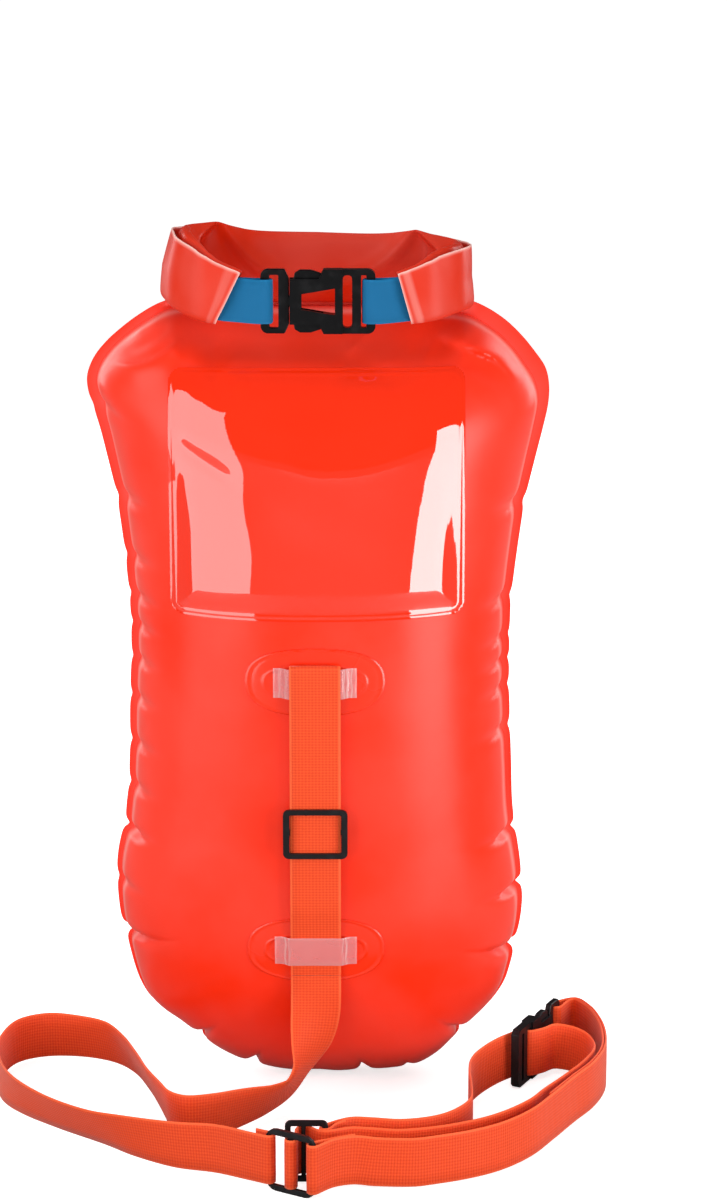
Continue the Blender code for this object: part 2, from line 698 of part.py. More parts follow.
def make_buckle(group, cutters, prefix, matrix):
    """Female half, male half and two arms, in the frame of matrix."""
    half = BUCKLE_HALF_HEIGHT
    waist = BUCKLE_WAIST
    face = BUCKLE_FEMALE_FACE
    shoulder = BUCKLE_SHOULDER
    end = BUCKLE_FEMALE_END
    corner = BUCKLE_CORNER
    outline = [(face, -waist), (shoulder - corner, -waist), (shoulder, -half), (end - corner, -half)]
    outline += [(end, -half + corner), (end, half - corner), (end - corner, half), (shoulder, half)]
    outline += [(shoulder - corner, waist), (face, waist)]
    slot = BUCKLE_SLOT_HALF
    holes = []
    for low, high in (BUCKLE_FEMALE_SLOT, BUCKLE_THIN_SLOT):
        holes.append([(low, -slot), (high, -slot), (high, slot), (low, slot)])
    female = frame_object(group, cutters, prefix + "_female", outline, holes,
                          2.0 * BUCKLE_BODY_HALF_THICK, matrix, BUCKLE_CORNER / 5.0, BLACK_PLASTIC, 0.4)
    female.modifiers.remove(female.modifiers["rounding"])
    depth = BUCKLE_CAVITY_HALF_THICK
    over = CUT_OVERRUN
    stop = shoulder - GAP / 2.0
    cavity = [(face - over, -half - over), (stop, -half - over), (stop, half + over), (face - over, half + over)]
    cut(female, prism(cutters, prefix + "_cavity", cavity, -depth, depth, matrix))
    (near_x, near_half), (far_x, far_half) = BUCKLE_WINDOW
    window = [(near_x, -near_half), (far_x, -far_half), (far_x, far_half), (near_x, near_half)]
    side = BUCKLE_BODY_HALF_THICK + over
    cut(female, prism(cutters, prefix + "_window", window, -side, side, matrix))
    trim = BUCKLE_BAR_HALF_THICK
    strip = [(BUCKLE_FEMALE_SLOT[0] - GAP, -half - over), (end + over, -half - over)]
    strip += [(end + over, half + over), (BUCKLE_FEMALE_SLOT[0] - GAP, half + over)]
    cut(female, prism(cutters, prefix + "_trim_front", strip, trim, side, matrix))
    cut(female, prism(cutters, prefix + "_trim_back", strip, -side, -trim, matrix))
    male_face = BUCKLE_MALE_FACE
    male_end = BUCKLE_MALE_END
    tongue = BUCKLE_TONGUE_HALF
    outline = [(male_end, -half + corner), (male_end + corner, -half), (male_face - corner, -half)]
    outline += [(male_face, -waist), (male_face, -tongue), (BUCKLE_TONGUE_END, -tongue)]
    outline += [(BUCKLE_TONGUE_END, tongue), (male_face, tongue), (male_face, waist)]
    outline += [(male_face - corner, half), (male_end + corner, half), (male_end, half - corner)]
    low, high = BUCKLE_MALE_SLOT
    holes = [[(low, -slot), (high, -slot), (high, slot), (low, slot)]]
    male = frame_object(group, cutters, prefix + "_male", outline, holes,
                        2.0 * BUCKLE_MALE_HALF_THICK, matrix, BUCKLE_CORNER / 6.0, BLACK_PLASTIC, 0.4)
    for word, sign in (("upper", 1.0), ("lower", -1.0)):
        rows = [(x, sign * y) for x, y in ARM_OUTLINE]
        if sign < 0.0:
            rows = rows[::-1]
        arm = prism(group, prefix + "_arm_" + word, rows, -ARM_HALF_THICK, ARM_HALF_THICK, matrix)
        arm.data.materials.append(new_material(arm.name, BLACK_PLASTIC, 0.4))
    return female, male


def roll_path(station):
    """Middle, height and thickness way of the roll at a signed station."""
    sign = -1.0 if station < 0.0 else 1.0
    place = abs(station)
    index = min(int(place), len(ROLL_STATIONS) - 2)
    share = place - index
    first = index - 1
    if first < 0:
        x, y, z, height = ROLL_STATIONS[1]
        before = (-x, y, z, height)
    else:
        before = ROLL_STATIONS[first]
    start = ROLL_STATIONS[index]
    end = ROLL_STATIONS[index + 1]
    after = ROLL_STATIONS[min(index + 2, len(ROLL_STATIONS) - 1)]
    row = []
    for a, b, c, d in zip(before, start, end, after):
        slope_in = (c - a) / 2.0
        slope_out = (d - b) / 2.0
        cube = 2.0 * b - 2.0 * c + slope_in + slope_out
        square = 3.0 * c - 3.0 * b - 2.0 * slope_in - slope_out
        row.append(((cube * share + square) * share + slope_in) * share + b)
    return Vector((sign * row[0], row[1], BODY_HEIGHT + row[2])), row[3]


def roll_frame(station):
    middle, height = roll_path(station)
    small = 0.01
    ahead = roll_path(station + small)[0]
    behind = roll_path(station - small)[0]
    way = (ahead - behind).normalized()
    outward = Vector((way.y, -way.x, 0.0)).normalized()
    upward = outward.cross(way).normalized()
    if upward.z < 0.0:
        upward = -upward
    return middle, height, outward, upward


def roll_ring(station, inset):
    """Points round the flattened roll, moved inward by an inset."""
    middle, height, outward, upward = roll_frame(station)
    radius = ROLL_THICK / 2.0 - inset
    straight = height / 2.0 - ROLL_THICK / 2.0
    points = []
    for end in (1.0, -1.0):
        for step in range(ROLL_SIDES + 1):
            angle = math.pi * step / ROLL_SIDES
            sideways = math.cos(angle) * radius * end
            lift = end * (straight + math.sin(angle) * radius)
            points.append(middle + outward * sideways + upward * lift)
    return points


def roll_object(group):
    stations = []
    count = ROLL_END_STATION * ROLL_STEPS
    for step in range(-count, count + 1):
        stations.append(step / ROLL_STEPS)
    rings = []
    for station in stations:
        rings.append((roll_ring(station, 0.0), roll_ring(station, ROLL_WALL)))
    size = len(rings[0][0])
    points = []
    for outer, inner in rings:
        points += outer + inner
    stride = 2 * size
    faces = []
    for index in range(len(rings) - 1):
        base = index * stride
        ahead = base + stride
        for corner in range(size):
            following = (corner + 1) % size
            faces.append((base + following, base + corner, ahead + corner, ahead + following))
            a, b = base + size + corner, base + size + following
            faces.append((a, b, b + stride, a + stride))
    last = (len(rings) - 1) * stride
    for corner in range(size):
        following = (corner + 1) % size
        faces.append((corner, following, size + following, size + corner))
        faces.append((last + following, last + corner, last + size + corner, last + size + following))
    return mesh_object(group, "roll_top", points, faces, ORANGE_SHEET, 0.45)


def stiffener(group, name, sideways):
    centres = []
    acrosses = []
    count = int(STIFFENER_INSET_STATION * ROLL_STEPS)
    for step in range(-count, count + 1):
        station = step / ROLL_STEPS
        middle, height, outward, upward = roll_frame(station)
        centres.append(middle + outward * sideways)
        acrosses.append(upward)
    return ribbon(group, name, centres, acrosses, STIFFENER_WIDTH, STIFFENER, PALE_STIFFENER, 0.6)


def closure_strap(group, name, side, bar_x, radius, hold):
    """Strap folded round a buckle bar, both layers running into the roll's end."""
    half = CLOSURE_STRAP_SPACING / 2.0
    steps = 3
    span = ROLL_END_STATION - CLOSURE_STRAP_START
    stations = [CLOSURE_STRAP_START + span * step / steps for step in range(steps + 1)]
    inner = []
    outer = []
    for station in stations:
        middle, height, outward, upward = roll_frame(side * station)
        inner.append(middle + outward * half)
        outer.append(middle - outward * half)
    bar = Vector((bar_x, BUCKLE_CENTRE[1], BUCKLE_CENTRE[2]))
    fan = []
    for step in range(LOOP_STEPS + 1):
        angle = math.pi / 2.0 + math.pi * step / LOOP_STEPS
        fan.append(bar + Vector((side * radius * math.cos(angle), radius * math.sin(angle), 0.0)))
    if inner[-1].y < outer[-1].y:
        inner, outer = outer, inner
    spread = radius * CLOSURE_HOLD_SHARE
    inner.append(bar + Vector((side * hold, spread, 0.0)))
    outer.append(bar + Vector((side * hold, -spread, 0.0)))
    rows = inner + fan + outer[::-1]
    smooth = catmull([tuple(row) for row in rows], WEBBING_STEPS)
    acrosses = [(0.0, 0.0, 1.0)] * len(smooth)
    return ribbon(group, name, smooth, acrosses, CLOSURE_STRAP_WIDTH, CLOSURE_STRAP, BLUE_WEBBING, 0.7)


def tube_points(profile, sides, matrix):
    """Turn a closed profile of radius and height round the frame's own z."""
    points = []
    for step in range(sides):
        angle = math.tau * step / sides
        for radius, height in profile:
            points.append(matrix @ Vector((radius * math.cos(angle), radius * math.sin(angle), height)))
    size = len(profile)
    faces = []
    for step in range(sides):
        following = (step + 1) % sides
        for corner in range(size):
            beside = (corner + 1) % size
            faces.append((step * size + corner, following * size + corner,
                          following * size + beside, step * size + beside))
    return points, faces


def ring_object(group, name, profile, matrix, colour, roughness):
    points, faces = tube_points(profile, VALVE_SIDES, matrix)
    return mesh_object(group, name, points, faces, colour, roughness)


def valve_frame(tree, side):
    """Frame on the back sheet whose own z is the way out of the bag."""
    start = Vector((side * VALVE_X, 2.0 * BACK_DEPTH, VALVE_Z))
    place, normal, index, distance = tree.ray_cast(start, Vector((0.0, -1.0, 0.0)))
    if normal.y < 0.0:
        normal = -normal
    across = Vector((0.0, 0.0, 1.0)).cross(normal).normalized()
    upward = normal.cross(across).normalized()
    return Matrix(((across.x, upward.x, normal.x, place.x), (across.y, upward.y, normal.y, place.y),
                   (across.z, upward.z, normal.z, place.z), (0, 0, 0, 1)))


def make_valves(group, cutters, back, back_sheet):
    points, faces = back
    tree = BVHTree.FromPolygons([Vector(point) for point in points], faces)
    for word, side in (("left", -1.0), ("right", 1.0)):
        matrix = valve_frame(tree, side)
        hole = oval(0.0, 0.0, VALVE_TUBE_RADIUS + GAP, VALVE_TUBE_RADIUS + GAP, VALVE_SIDES)
        reach = VALVE_TUBE_OUT
        bore = prism(cutters, word + "_valve_bore", hole, -reach, reach, matrix)
        cut(back_sheet, bore)
        normals = sheet_normals(points, faces)
        lift = SHEET + GAP
        place = matrix.translation
        near = VALVE_REACH_SHARE * VALVE_FLANGE_RADIUS
        kept = sheet_near(points, faces, (place.x - near, place.z - near), (place.x + near, place.z + near))
        lower = [Vector(point) + normal * lift for point, normal in zip(points, normals)]
        upper = [Vector(point) + normal * (lift + VALVE_FLANGE) for point, normal in zip(points, normals)]
        flange = two_skin_object(group, word + "_valve_flange", lower, upper, kept, CLEAR_SHEET, 0.4)
        rim = oval(0.0, 0.0, VALVE_FLANGE_RADIUS, VALVE_FLANGE_RADIUS, VALVE_SIDES)
        cut(flange, prism(cutters, word + "_valve_rim", rim, -reach, reach, matrix), "INTERSECT")
        cut(flange, bore)
        outer = VALVE_TUBE_RADIUS
        inner = outer - VALVE_TUBE_WALL
        top = VALVE_TUBE_OUT
        seat = SHEET + VALVE_FLANGE + 4.0 * GAP
        profile = [(inner, -VALVE_TUBE_IN), (outer, -VALVE_TUBE_IN), (outer, seat)]
        profile += [(VALVE_COLLAR_RADIUS, seat), (VALVE_COLLAR_RADIUS, seat + VALVE_COLLAR)]
        profile += [(outer, seat + VALVE_COLLAR), (outer, top), (inner, top)]
        ring_object(group, word + "_valve_barrel", profile, matrix, CLEAR_SHEET, 0.35)
        bore_radius = outer + GAP
        low = top - VALVE_CAP_LENGTH + VALVE_CAP_LIP
        lid = top + GAP
        profile = [(bore_radius, low), (VALVE_CAP_RADIUS, low), (VALVE_CAP_RADIUS, lid + VALVE_CAP_LIP)]
        profile += [(VALVE_CAP_BORE, lid + VALVE_CAP_LIP), (VALVE_CAP_BORE, lid), (bore_radius, lid)]
        cap = ring_object(group, word + "_valve_mouthpiece", profile, matrix, BLACK_PLASTIC, 0.4)
        disc = oval(0.0, 0.0, VALVE_FLAP_RADIUS, VALVE_FLAP_RADIUS, VALVE_SIDES)
        seat = -VALVE_TUBE_IN - GAP
        flap = prism(group, word + "_valve_flap", disc, seat - VALVE_FLAP, seat, matrix)
        flap.data.materials.append(new_material(flap.name, BLACK_PLASTIC, 0.5))


def front_depth_at(tree, x, z):
    place = tree.ray_cast(Vector((x, -2.0 * FRONT_DEPTH, z)), Vector((0.0, 1.0, 0.0)))[0]
    return place.y


def make_anchor(group, cutters, base, tree, word, height, layers):
    """Patch, and the bridge band over it with room for layers of webbing."""
    centre = height
    outline = oval(ANCHOR_CENTRE_X, centre, PATCH_HALF_WIDTH, PATCH_HALF_HEIGHT, PATCH_STEPS)
    patch_object(group, cutters, word + "_anchor_patch", base, outline, SHEET + GAP, PATCH_SHEET, True,
                 ORANGE_SHEET, 0.35)
    foot_lift = SHEET + GAP + PATCH_SHEET + 2.0 * GAP + BAND_SHEET / 2.0
    bridge_lift = foot_lift + layers * (WEBBING + 2.0 * GAP)
    flat = BAND_HALF_LENGTH - BAND_FOOT
    crease = WEBBING_WIDTH / 2.0 + GAP * 2.0
    stations = (-BAND_HALF_LENGTH, -flat, -crease, 0.0, crease, flat, BAND_HALF_LENGTH)
    lifts = (foot_lift, foot_lift, bridge_lift, bridge_lift, bridge_lift, foot_lift, foot_lift)
    middle = front_depth_at(tree, 0.0, centre)
    top = front_depth_at(tree, 0.0, centre + BAND_HALF_HEIGHT)
    bottom = front_depth_at(tree, 0.0, centre - BAND_HALF_HEIGHT)
    middle = min(middle, (top + bottom) / 2.0)
    tilt = (top - bottom) / (2.0 * BAND_HALF_HEIGHT)
    centres = []
    for station, lift in zip(stations, lifts):
        x = ANCHOR_CENTRE_X + station
        depth = middle if abs(station) <= crease else front_depth_at(tree, x, centre)
        centres.append((x, depth - lift, centre))
    acrosses = [(0.0, tilt, 1.0)] * len(centres)
    ribbon(group, word + "_anchor_band", centres, acrosses, 2.0 * BAND_HALF_HEIGHT, BAND_SHEET,
           CLEAR_SHEET, 0.25)
    return middle - bridge_lift, tilt


def make_leash(group, cutters, upper_band, lower_band):
    """Webbing on the bag: slider bar, behind and over the upper band, down under the lower band."""
    upper = UPPER_ANCHOR_HEIGHT
    step = WEBBING / 2.0 + GAP + BAND_SHEET / 2.0
    behind = upper_band[0] + step
    before = upper_band[0] - step
    top = upper + BAND_HALF_HEIGHT
    lower = lower_band[0] + step
    tilt = lower_band[1]
    start = SLIDER_HEIGHT + SLIDER_LUG_HALF + LEASH_SEAM_GAP
    rows = [(LEASH_X, behind, start), (LEASH_X, behind, (start + upper) / 2.0)]
    rows.append((LEASH_X, behind, top))
    radius = (behind - before) / 2.0
    fold = (behind + before) / 2.0
    for count in range(1, LOOP_STEPS):
        angle = math.pi * count / LOOP_STEPS
        rows.append((LEASH_X, fold + radius * math.cos(angle), top + GAP + radius * math.sin(angle)))
    rows.append((LEASH_X, before, top))
    rows.append((LEASH_X, before, upper - BAND_HALF_HEIGHT - LEASH_EASE))
    low = LOWER_ANCHOR_HEIGHT
    below_slider = SLIDER_HEIGHT - SLIDER_HALF_LENGTH
    rows.append((LEASH_X, before, below_slider))
    rows.append((LEASH_X, (before + lower) / 2.0, (below_slider + low + BAND_HALF_HEIGHT) / 2.0))
    reach = BAND_HALF_HEIGHT + LEASH_EASE / 4.0
    rows.append((LEASH_X, lower + tilt * reach, low + reach))
    rows.append((LEASH_X, lower, low))
    rows.append((LEASH_X, lower - tilt * (low - LEASH_FRONT_LOW), LEASH_FRONT_LOW))
    acrosses = [(-1.0, 0.0, 0.0)] * len(rows)
    ribbon(group, "leash_bag_webbing", rows, acrosses, WEBBING_WIDTH, WEBBING, ORANGE_WEBBING, 0.75)
    bar_low = before - WEBBING / 2.0 - GAP - SLIDER_THICK / 2.0
    frame = Matrix(((1, 0, 0, LEASH_X), (0, 0, -1, bar_low), (0, 1, 0, SLIDER_HEIGHT), (0, 0, 0, 1)))
    outline = rounded_box(-SLIDER_HALF_WIDTH, SLIDER_HALF_WIDTH, -SLIDER_HALF_LENGTH, SLIDER_HALF_LENGTH,
                          SLIDER_CORNER, CORNER_STEPS)
    inside = WEBBING_WIDTH / 2.0 + GAP
    reach = SLIDER_HALF_LENGTH - SLIDER_BAR
    front = SLIDER_THICK / 2.0
    behind_web = -front - WEBBING - 2.0 * GAP
    back = behind_web - SLIDER_MIDDLE_THICK
    slider = prism(group, "leash_slider", outline, back, front, frame)
    slider.data.materials.append(new_material("leash_slider", BLACK_PLASTIC, 0.4))
    half_bar = SLIDER_MIDDLE_BAR / 2.0
    over = CUT_OVERRUN
    for word, low, high in (("upper", half_bar, reach), ("lower", -reach, -half_bar)):
        hole = [(-inside, low), (inside, low), (inside, high), (-inside, high)]
        cut(slider, prism(cutters, "slider_hole_" + word, hole, back - over, front + over, frame))
    channel = [(-inside, -reach), (inside, -reach), (inside, reach), (-inside, reach)]
    cut(slider, prism(cutters, "slider_channel", channel, behind_web, front + over, frame))
    wide = SLIDER_HALF_WIDTH + over
    long = SLIDER_HALF_LENGTH + over
    for word, low, high in (("upper", SLIDER_LUG_HALF, long), ("lower", -long, -SLIDER_LUG_HALF)):
        strip = [(-wide, low), (wide, low), (wide, high), (-wide, high)]
        cut(slider, prism(cutters, "slider_back_" + word, strip, back - over, -front, frame))


def floor_part(group, cutters, name, centre, direction, half_length, bars, height, rail, corner, thick):
    """A ring that stands on the floor: outer frame with upright bars between its windows."""
    frame = upright_frame(centre, direction, 0.0)
    outline = rounded_box(-half_length, half_length, 0.0, height, corner, CORNER_STEPS)
    holes = []
    for low, high in bars:
        holes.append([(low, rail), (high, rail), (high, height - rail), (low, height - rail)])
    return frame_object(group, cutters, name, outline, holes, thick, frame, thick / 5.0, BLACK_PLASTIC, 0.4)


def local_plan(origin, direction, along, sideways):
    """Plan point of a buckle's own x and thickness."""
    x, y = direction
    return (origin[0] + along * x + sideways * y, origin[1] + along * y - sideways * x)


def make_belt(group, cutters):
    size = math.hypot(RING_DIRECTION[0], RING_DIRECTION[1])
    way = (RING_DIRECTION[0] / size, RING_DIRECTION[1] / size)
    bar = RING_BAR
    half = RING_HALF_LENGTH
    windows = ((-half + bar, -bar / 2.0), (bar / 2.0, half - bar))
    floor_part(group, cutters, "belt_ring", RING_CENTRE, way, half, windows, RING_HEIGHT, RING_RAIL,
               RING_CORNER, RING_THICK)
    reach = ADJUSTER_HALF_LENGTH
    low = ADJUSTER_MIDDLE_BAR_X - ADJUSTER_MIDDLE_BAR / 2.0
    high = ADJUSTER_MIDDLE_BAR_X + ADJUSTER_MIDDLE_BAR / 2.0
    windows = ((-reach + ADJUSTER_BAR, low), (high, reach - ADJUSTER_BAR))
    floor_part(group, cutters, "belt_adjuster", ADJUSTER_CENTRE, (1.0, 0.0), reach, windows, RING_HEIGHT,
               RING_RAIL, RING_CORNER / 2.0, ADJUSTER_THICK)
    height = RING_WEBBING_Z
    # Fixed webbing: folded round the ring's right bar, then round the male half's bar
    along = half - bar / 2.0
    right_bar = (RING_CENTRE[0] + way[0] * along, RING_CENTRE[1] + way[1] * along)
    leaving = (FIXED_ROUTE[1][0] - right_bar[0], FIXED_ROUTE[1][1] - right_bar[1])
    route = list(FIXED_START)
    route += loop_points(right_bar, leaving, RING_LOOP_RADIUS, LOOP_STEPS, height, False)
    route += list(FIXED_ROUTE)
    direction = (-BELT_BUCKLE_DIRECTION[0], -BELT_BUCKLE_DIRECTION[1])
    origin = (BELT_BUCKLE_END[0] - direction[0] * BUCKLE_FEMALE_END,
              BELT_BUCKLE_END[1] - direction[1] * BUCKLE_FEMALE_END)
    bar_x = (BUCKLE_MALE_END + BUCKLE_MALE_SLOT[0]) / 2.0
    male_bar = local_plan(origin, direction, bar_x, 0.0)
    leaving = (FIXED_ROUTE[-1][0] - male_bar[0], FIXED_ROUTE[-1][1] - male_bar[1])
    doubled = offset_route(FIXED_ROUTE, FIXED_DOUBLE_GAP)[FIXED_DOUBLE_FIRST:]
    route += loop_points(male_bar, leaving, MALE_LOOP_RADIUS, LOOP_STEPS, height, False)
    route += doubled[::-1]
    floor_ribbon(group, "belt_fixed_webbing", catmull(route, WEBBING_STEPS), WEBBING_WIDTH, WEBBING,
                 ORANGE_WEBBING, 0.75)
    # Adjusting webbing: ring's middle bar, adjuster, buckle's slot and back to the adjuster
    leaving = (ADJUSTING_ROUTE[0][0] - RING_CENTRE[0], ADJUSTING_ROUTE[0][1] - RING_CENTRE[1])
    loop = loop_points(RING_CENTRE, leaving, RING_LOOP_RADIUS, LOOP_STEPS, height, False)
    tail = (loop[0][0] + leaving[0] * 0.5, loop[0][1] + leaving[1] * 0.5, height)
    route = [tail] + loop + list(ADJUSTING_ROUTE)
    for along, sideways in ADJUSTING_AT_BUCKLE:
        x, y = local_plan(origin, direction, along, -sideways)
        route.append((x, y, height))
    route += list(ADJUSTING_RETURN)
    bar_offset = reach - ADJUSTER_BAR / 2.0
    adjuster_bar = (ADJUSTER_CENTRE[0] + bar_offset, ADJUSTER_CENTRE[1])
    leaving = (ADJUSTING_RETURN[-1][0] - adjuster_bar[0], ADJUSTING_RETURN[-1][1] - adjuster_bar[1])
    route += loop_points(adjuster_bar, leaving, ADJUSTER_LOOP_RADIUS, LOOP_STEPS, height, False)
    route += list(ADJUSTING_END)
    floor_ribbon(group, "belt_adjusting_webbing", catmull(route, WEBBING_STEPS), WEBBING_WIDTH, WEBBING,
                 ORANGE_WEBBING, 0.75)
    frame = upright_frame(origin, direction, BELT_BUCKLE_Z)
    make_buckle(group, cutters, "belt_buckle", frame)
    # Free leash, ending in a fold round the ring's left bar
    along = -half + bar / 2.0
    left_bar = (RING_CENTRE[0] + way[0] * along, RING_CENTRE[1] + way[1] * along)
    last = LEASH_STATIONS[-1][0]
    leaving = (last[0] - left_bar[0], last[1] - left_bar[1])
    loop = loop_points(left_bar, leaving, RING_LOOP_RADIUS, LOOP_STEPS, height, False)
    rows = [centre + across for centre, across in LEASH_STATIONS]
    near = loop[0]
    size = math.hypot(leaving[0], leaving[1])
    unit = (leaving[0] / size, leaving[1] / size)
    upright = (0.0, 0.0, 1.0)
    rows.append((near[0] + unit[0] * LEASH_EASE, near[1] + unit[1] * LEASH_EASE, height) + upright)
    rows += [point + upright for point in loop]
    inset = loop[-1]
    distance = LEASH_EASE
    rows.append((inset[0] + unit[0] * distance, inset[1] + unit[1] * distance, height) + upright)
    smooth = catmull(rows, WEBBING_STEPS)
    centres = [row[:3] for row in smooth]
    acrosses = [row[3:] for row in smooth]
    ribbon(group, "leash_free_webbing", centres, acrosses, WEBBING_WIDTH, WEBBING, ORANGE_WEBBING, 0.75)


def main():
    clear_scene()
    group = new_collection(COLLECTION)
    cutters = new_collection("cutters")
    seat = MIDDLE_SHEET / 2.0 + GAP
    points, count = sheet_points(FRONT_DEPTH, -1.0, False, seat)
    front = (points, sheet_faces(count, False))
    points, count = sheet_points(BACK_DEPTH, 1.0, True, seat)
    back = (points, sheet_faces(count, True))
    sheet_object(group, "front_sheet", front, SHEET, ORANGE_SHEET, 0.35)
    middle_sheet_object(group, "middle_sheet", ORANGE_SHEET, 0.35)
    back_sheet = sheet_object(group, "back_sheet", back, SHEET, ORANGE_SHEET, 0.35)
    make_valves(group, cutters, back, back_sheet)
    outline = rounded_box(-WINDOW_HALF_WIDTH, WINDOW_HALF_WIDTH, WINDOW_LOW, WINDOW_HIGH, WINDOW_CORNER,
                          CORNER_STEPS)
    patch_object(group, cutters, "phone_window", front, outline, SHEET + GAP, WINDOW_SHEET, True,
                 CLEAR_SHEET, 0.15)
    tree = BVHTree.FromPolygons([Vector(point) for point in front[0]], front[1])
    upper_band = make_anchor(group, cutters, front, tree, "upper", UPPER_ANCHOR_HEIGHT, 1)
    lower_band = make_anchor(group, cutters, front, tree, "lower", LOWER_ANCHOR_HEIGHT, 1)
    make_leash(group, cutters, upper_band, lower_band)
    roll_object(group)
    stiffener(group, "stiffener_strip_inner", -STIFFENER_SPACING / 2.0)
    stiffener(group, "stiffener_strip_outer", STIFFENER_SPACING / 2.0)
    frame = upright_frame(BUCKLE_CENTRE[:2], (1.0, 0.0), BUCKLE_CENTRE[2])
    make_buckle(group, cutters, "closure_buckle", frame)
    male_bar = (BUCKLE_MALE_END + BUCKLE_MALE_SLOT[0]) / 2.0
    female_bar = (BUCKLE_THIN_SLOT[1] + BUCKLE_FEMALE_END) / 2.0
    closure_strap(group, "closure_strap_left", -1.0, BUCKLE_CENTRE[0] + male_bar, MALE_LOOP_RADIUS,
                  CLOSURE_HOLD["left"])
    closure_strap(group, "closure_strap_right", 1.0, BUCKLE_CENTRE[0] + female_bar,
                  MALE_LOOP_RADIUS + CLOSURE_STRAP / 2.0, CLOSURE_HOLD["right"])
    make_belt(group, cutters)


main()
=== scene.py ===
"""Looks of an open water swim buoy: inflated roll-top bag, leash and waist belt.

Metres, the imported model's own frame: the bag's front faces -Y and the belt lies on the floor before it.
"""
import math

import bmesh
import bpy
import numpy as np
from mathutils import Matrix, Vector
from mathutils.bvhtree import BVHTree


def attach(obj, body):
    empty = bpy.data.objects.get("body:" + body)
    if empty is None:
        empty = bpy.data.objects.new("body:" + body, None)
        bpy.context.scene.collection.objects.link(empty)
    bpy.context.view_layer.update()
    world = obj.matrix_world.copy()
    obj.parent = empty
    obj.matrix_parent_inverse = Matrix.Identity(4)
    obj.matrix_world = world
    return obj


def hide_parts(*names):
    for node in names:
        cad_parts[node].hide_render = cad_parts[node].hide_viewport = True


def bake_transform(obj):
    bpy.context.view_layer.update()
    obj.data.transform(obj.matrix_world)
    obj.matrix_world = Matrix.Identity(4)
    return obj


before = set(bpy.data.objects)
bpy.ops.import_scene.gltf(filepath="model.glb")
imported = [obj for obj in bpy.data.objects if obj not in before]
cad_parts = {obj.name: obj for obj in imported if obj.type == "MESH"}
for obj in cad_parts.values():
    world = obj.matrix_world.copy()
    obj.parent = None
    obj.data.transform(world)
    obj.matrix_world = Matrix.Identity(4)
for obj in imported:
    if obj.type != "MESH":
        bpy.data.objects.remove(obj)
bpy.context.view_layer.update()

# ---------------------------------------------------------------- sizes shared with the CAD
FRONT_DEPTH = 0.088
BACK_DEPTH = 0.062
SPINE_LOW = 0.150
SPINE_HIGH = 0.450
SHEET_GAP = 0.0009
WEBBING_WIDTH = 0.035
WEBBING_THICK = 0.0016
LEASH_X = -0.0015
RING_CENTRE = (-0.0165, -0.2260)
RING_WAY = (0.8553, -0.5182)
RING_LEFT_BAR = (-0.0312, -0.2171)
RING_RIGHT_BAR = (-0.0018, -0.2349)
ADJUSTER_RIGHT_BAR = (0.0060, -0.2055)
BELT_MALE_BAR = (0.1726, 0.0237)
BELT_MIDDLE = 0.022
LOOP_RADIUS = 0.0037
MALE_LOOP_RADIUS = 0.0047
ADJUSTER_LOOP_RADIUS = 0.0035
LOOP_STEPS = 7
BELT_BUCKLE_WAY = (0.4392, 0.8984)


# ---------------------------------------------------------------- small helpers
def between(a, b, low, high, at):
    return a * (high - at) / (high - low) + b * (at - low) / (high - low)


def run_lengths(line):
    return np.concatenate([[0.0], np.cumsum(np.linalg.norm(np.diff(line, axis=0), axis=1))])


def read_rows(goals, places, table):
    """The table's columns read at goals, its rows being at places."""
    return np.stack([np.interp(goals, places, column) for column in table.T], axis=1)


def smooth_way(points, spacing):
    """Even points along a smooth curve through rows of numbers, the first three being its place."""
    rows = np.array(points, float)
    padded = np.vstack([2 * rows[0] - rows[1], rows, 2 * rows[-1] - rows[-2]])
    dense = []
    for index in range(1, len(padded) - 2):
        four = padded[index - 1:index + 3]
        knots = [0.0]
        for a, b in zip(four, four[1:]):
            knots.append(knots[-1] + max(np.linalg.norm(b[:3] - a[:3]), 1e-5) ** 0.5)
        for step in range(12):
            at = knots[1] + (knots[2] - knots[1]) * step / 12
            level = [between(four[n], four[n + 1], knots[n], knots[n + 1], at) for n in range(3)]
            left = between(level[0], level[1], knots[0], knots[2], at)
            right = between(level[1], level[2], knots[1], knots[3], at)
            dense.append(between(left, right, knots[1], knots[2], at))
    dense.append(rows[-1])
    dense = np.array(dense)
    lengths = run_lengths(dense[:, :3])
    count = max(int(round(lengths[-1] / spacing)), 4)
    goals = np.linspace(0.0, lengths[-1], count + 1)
    return read_rows(goals, lengths, dense), goals


def unit(rows):
    return rows / np.maximum(np.linalg.norm(rows, axis=-1, keepdims=True), 1e-12)


def mesh_piece(name, points, faces, material, body, uvs=None, angle=40.0):
    """A piece from points and faces; uvs is one pair for each point, and a piece without a body is left unattached.
    """
    mesh = bpy.data.meshes.new(name)
    mesh.from_pydata([tuple(p) for p in points], [], [tuple(f) for f in faces])
    mesh.update()
    if uvs is not None:
        layer = mesh.uv_layers.new(name="UVMap")
        corner = np.zeros(len(mesh.loops), np.int32)
        mesh.loops.foreach_get("vertex_index", corner)
        layer.data.foreach_set("uv", np.array(uvs, float)[corner].ravel())
    mesh.shade_smooth()
    mesh.set_sharp_from_angle(angle=math.radians(angle))
    piece = bpy.data.objects.new(name, mesh)
    bpy.context.scene.collection.objects.link(piece)
    mesh.materials.append(material)
    if body:
        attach(piece, body)
    return piece


def stand_in(piece, node_name):
    """The piece stands for a CAD node, which is hidden."""
    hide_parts(node_name)


def select_only(piece):
    bpy.ops.object.select_all(action="DESELECT")
    piece.select_set(True)
    bpy.context.view_layer.objects.active = piece


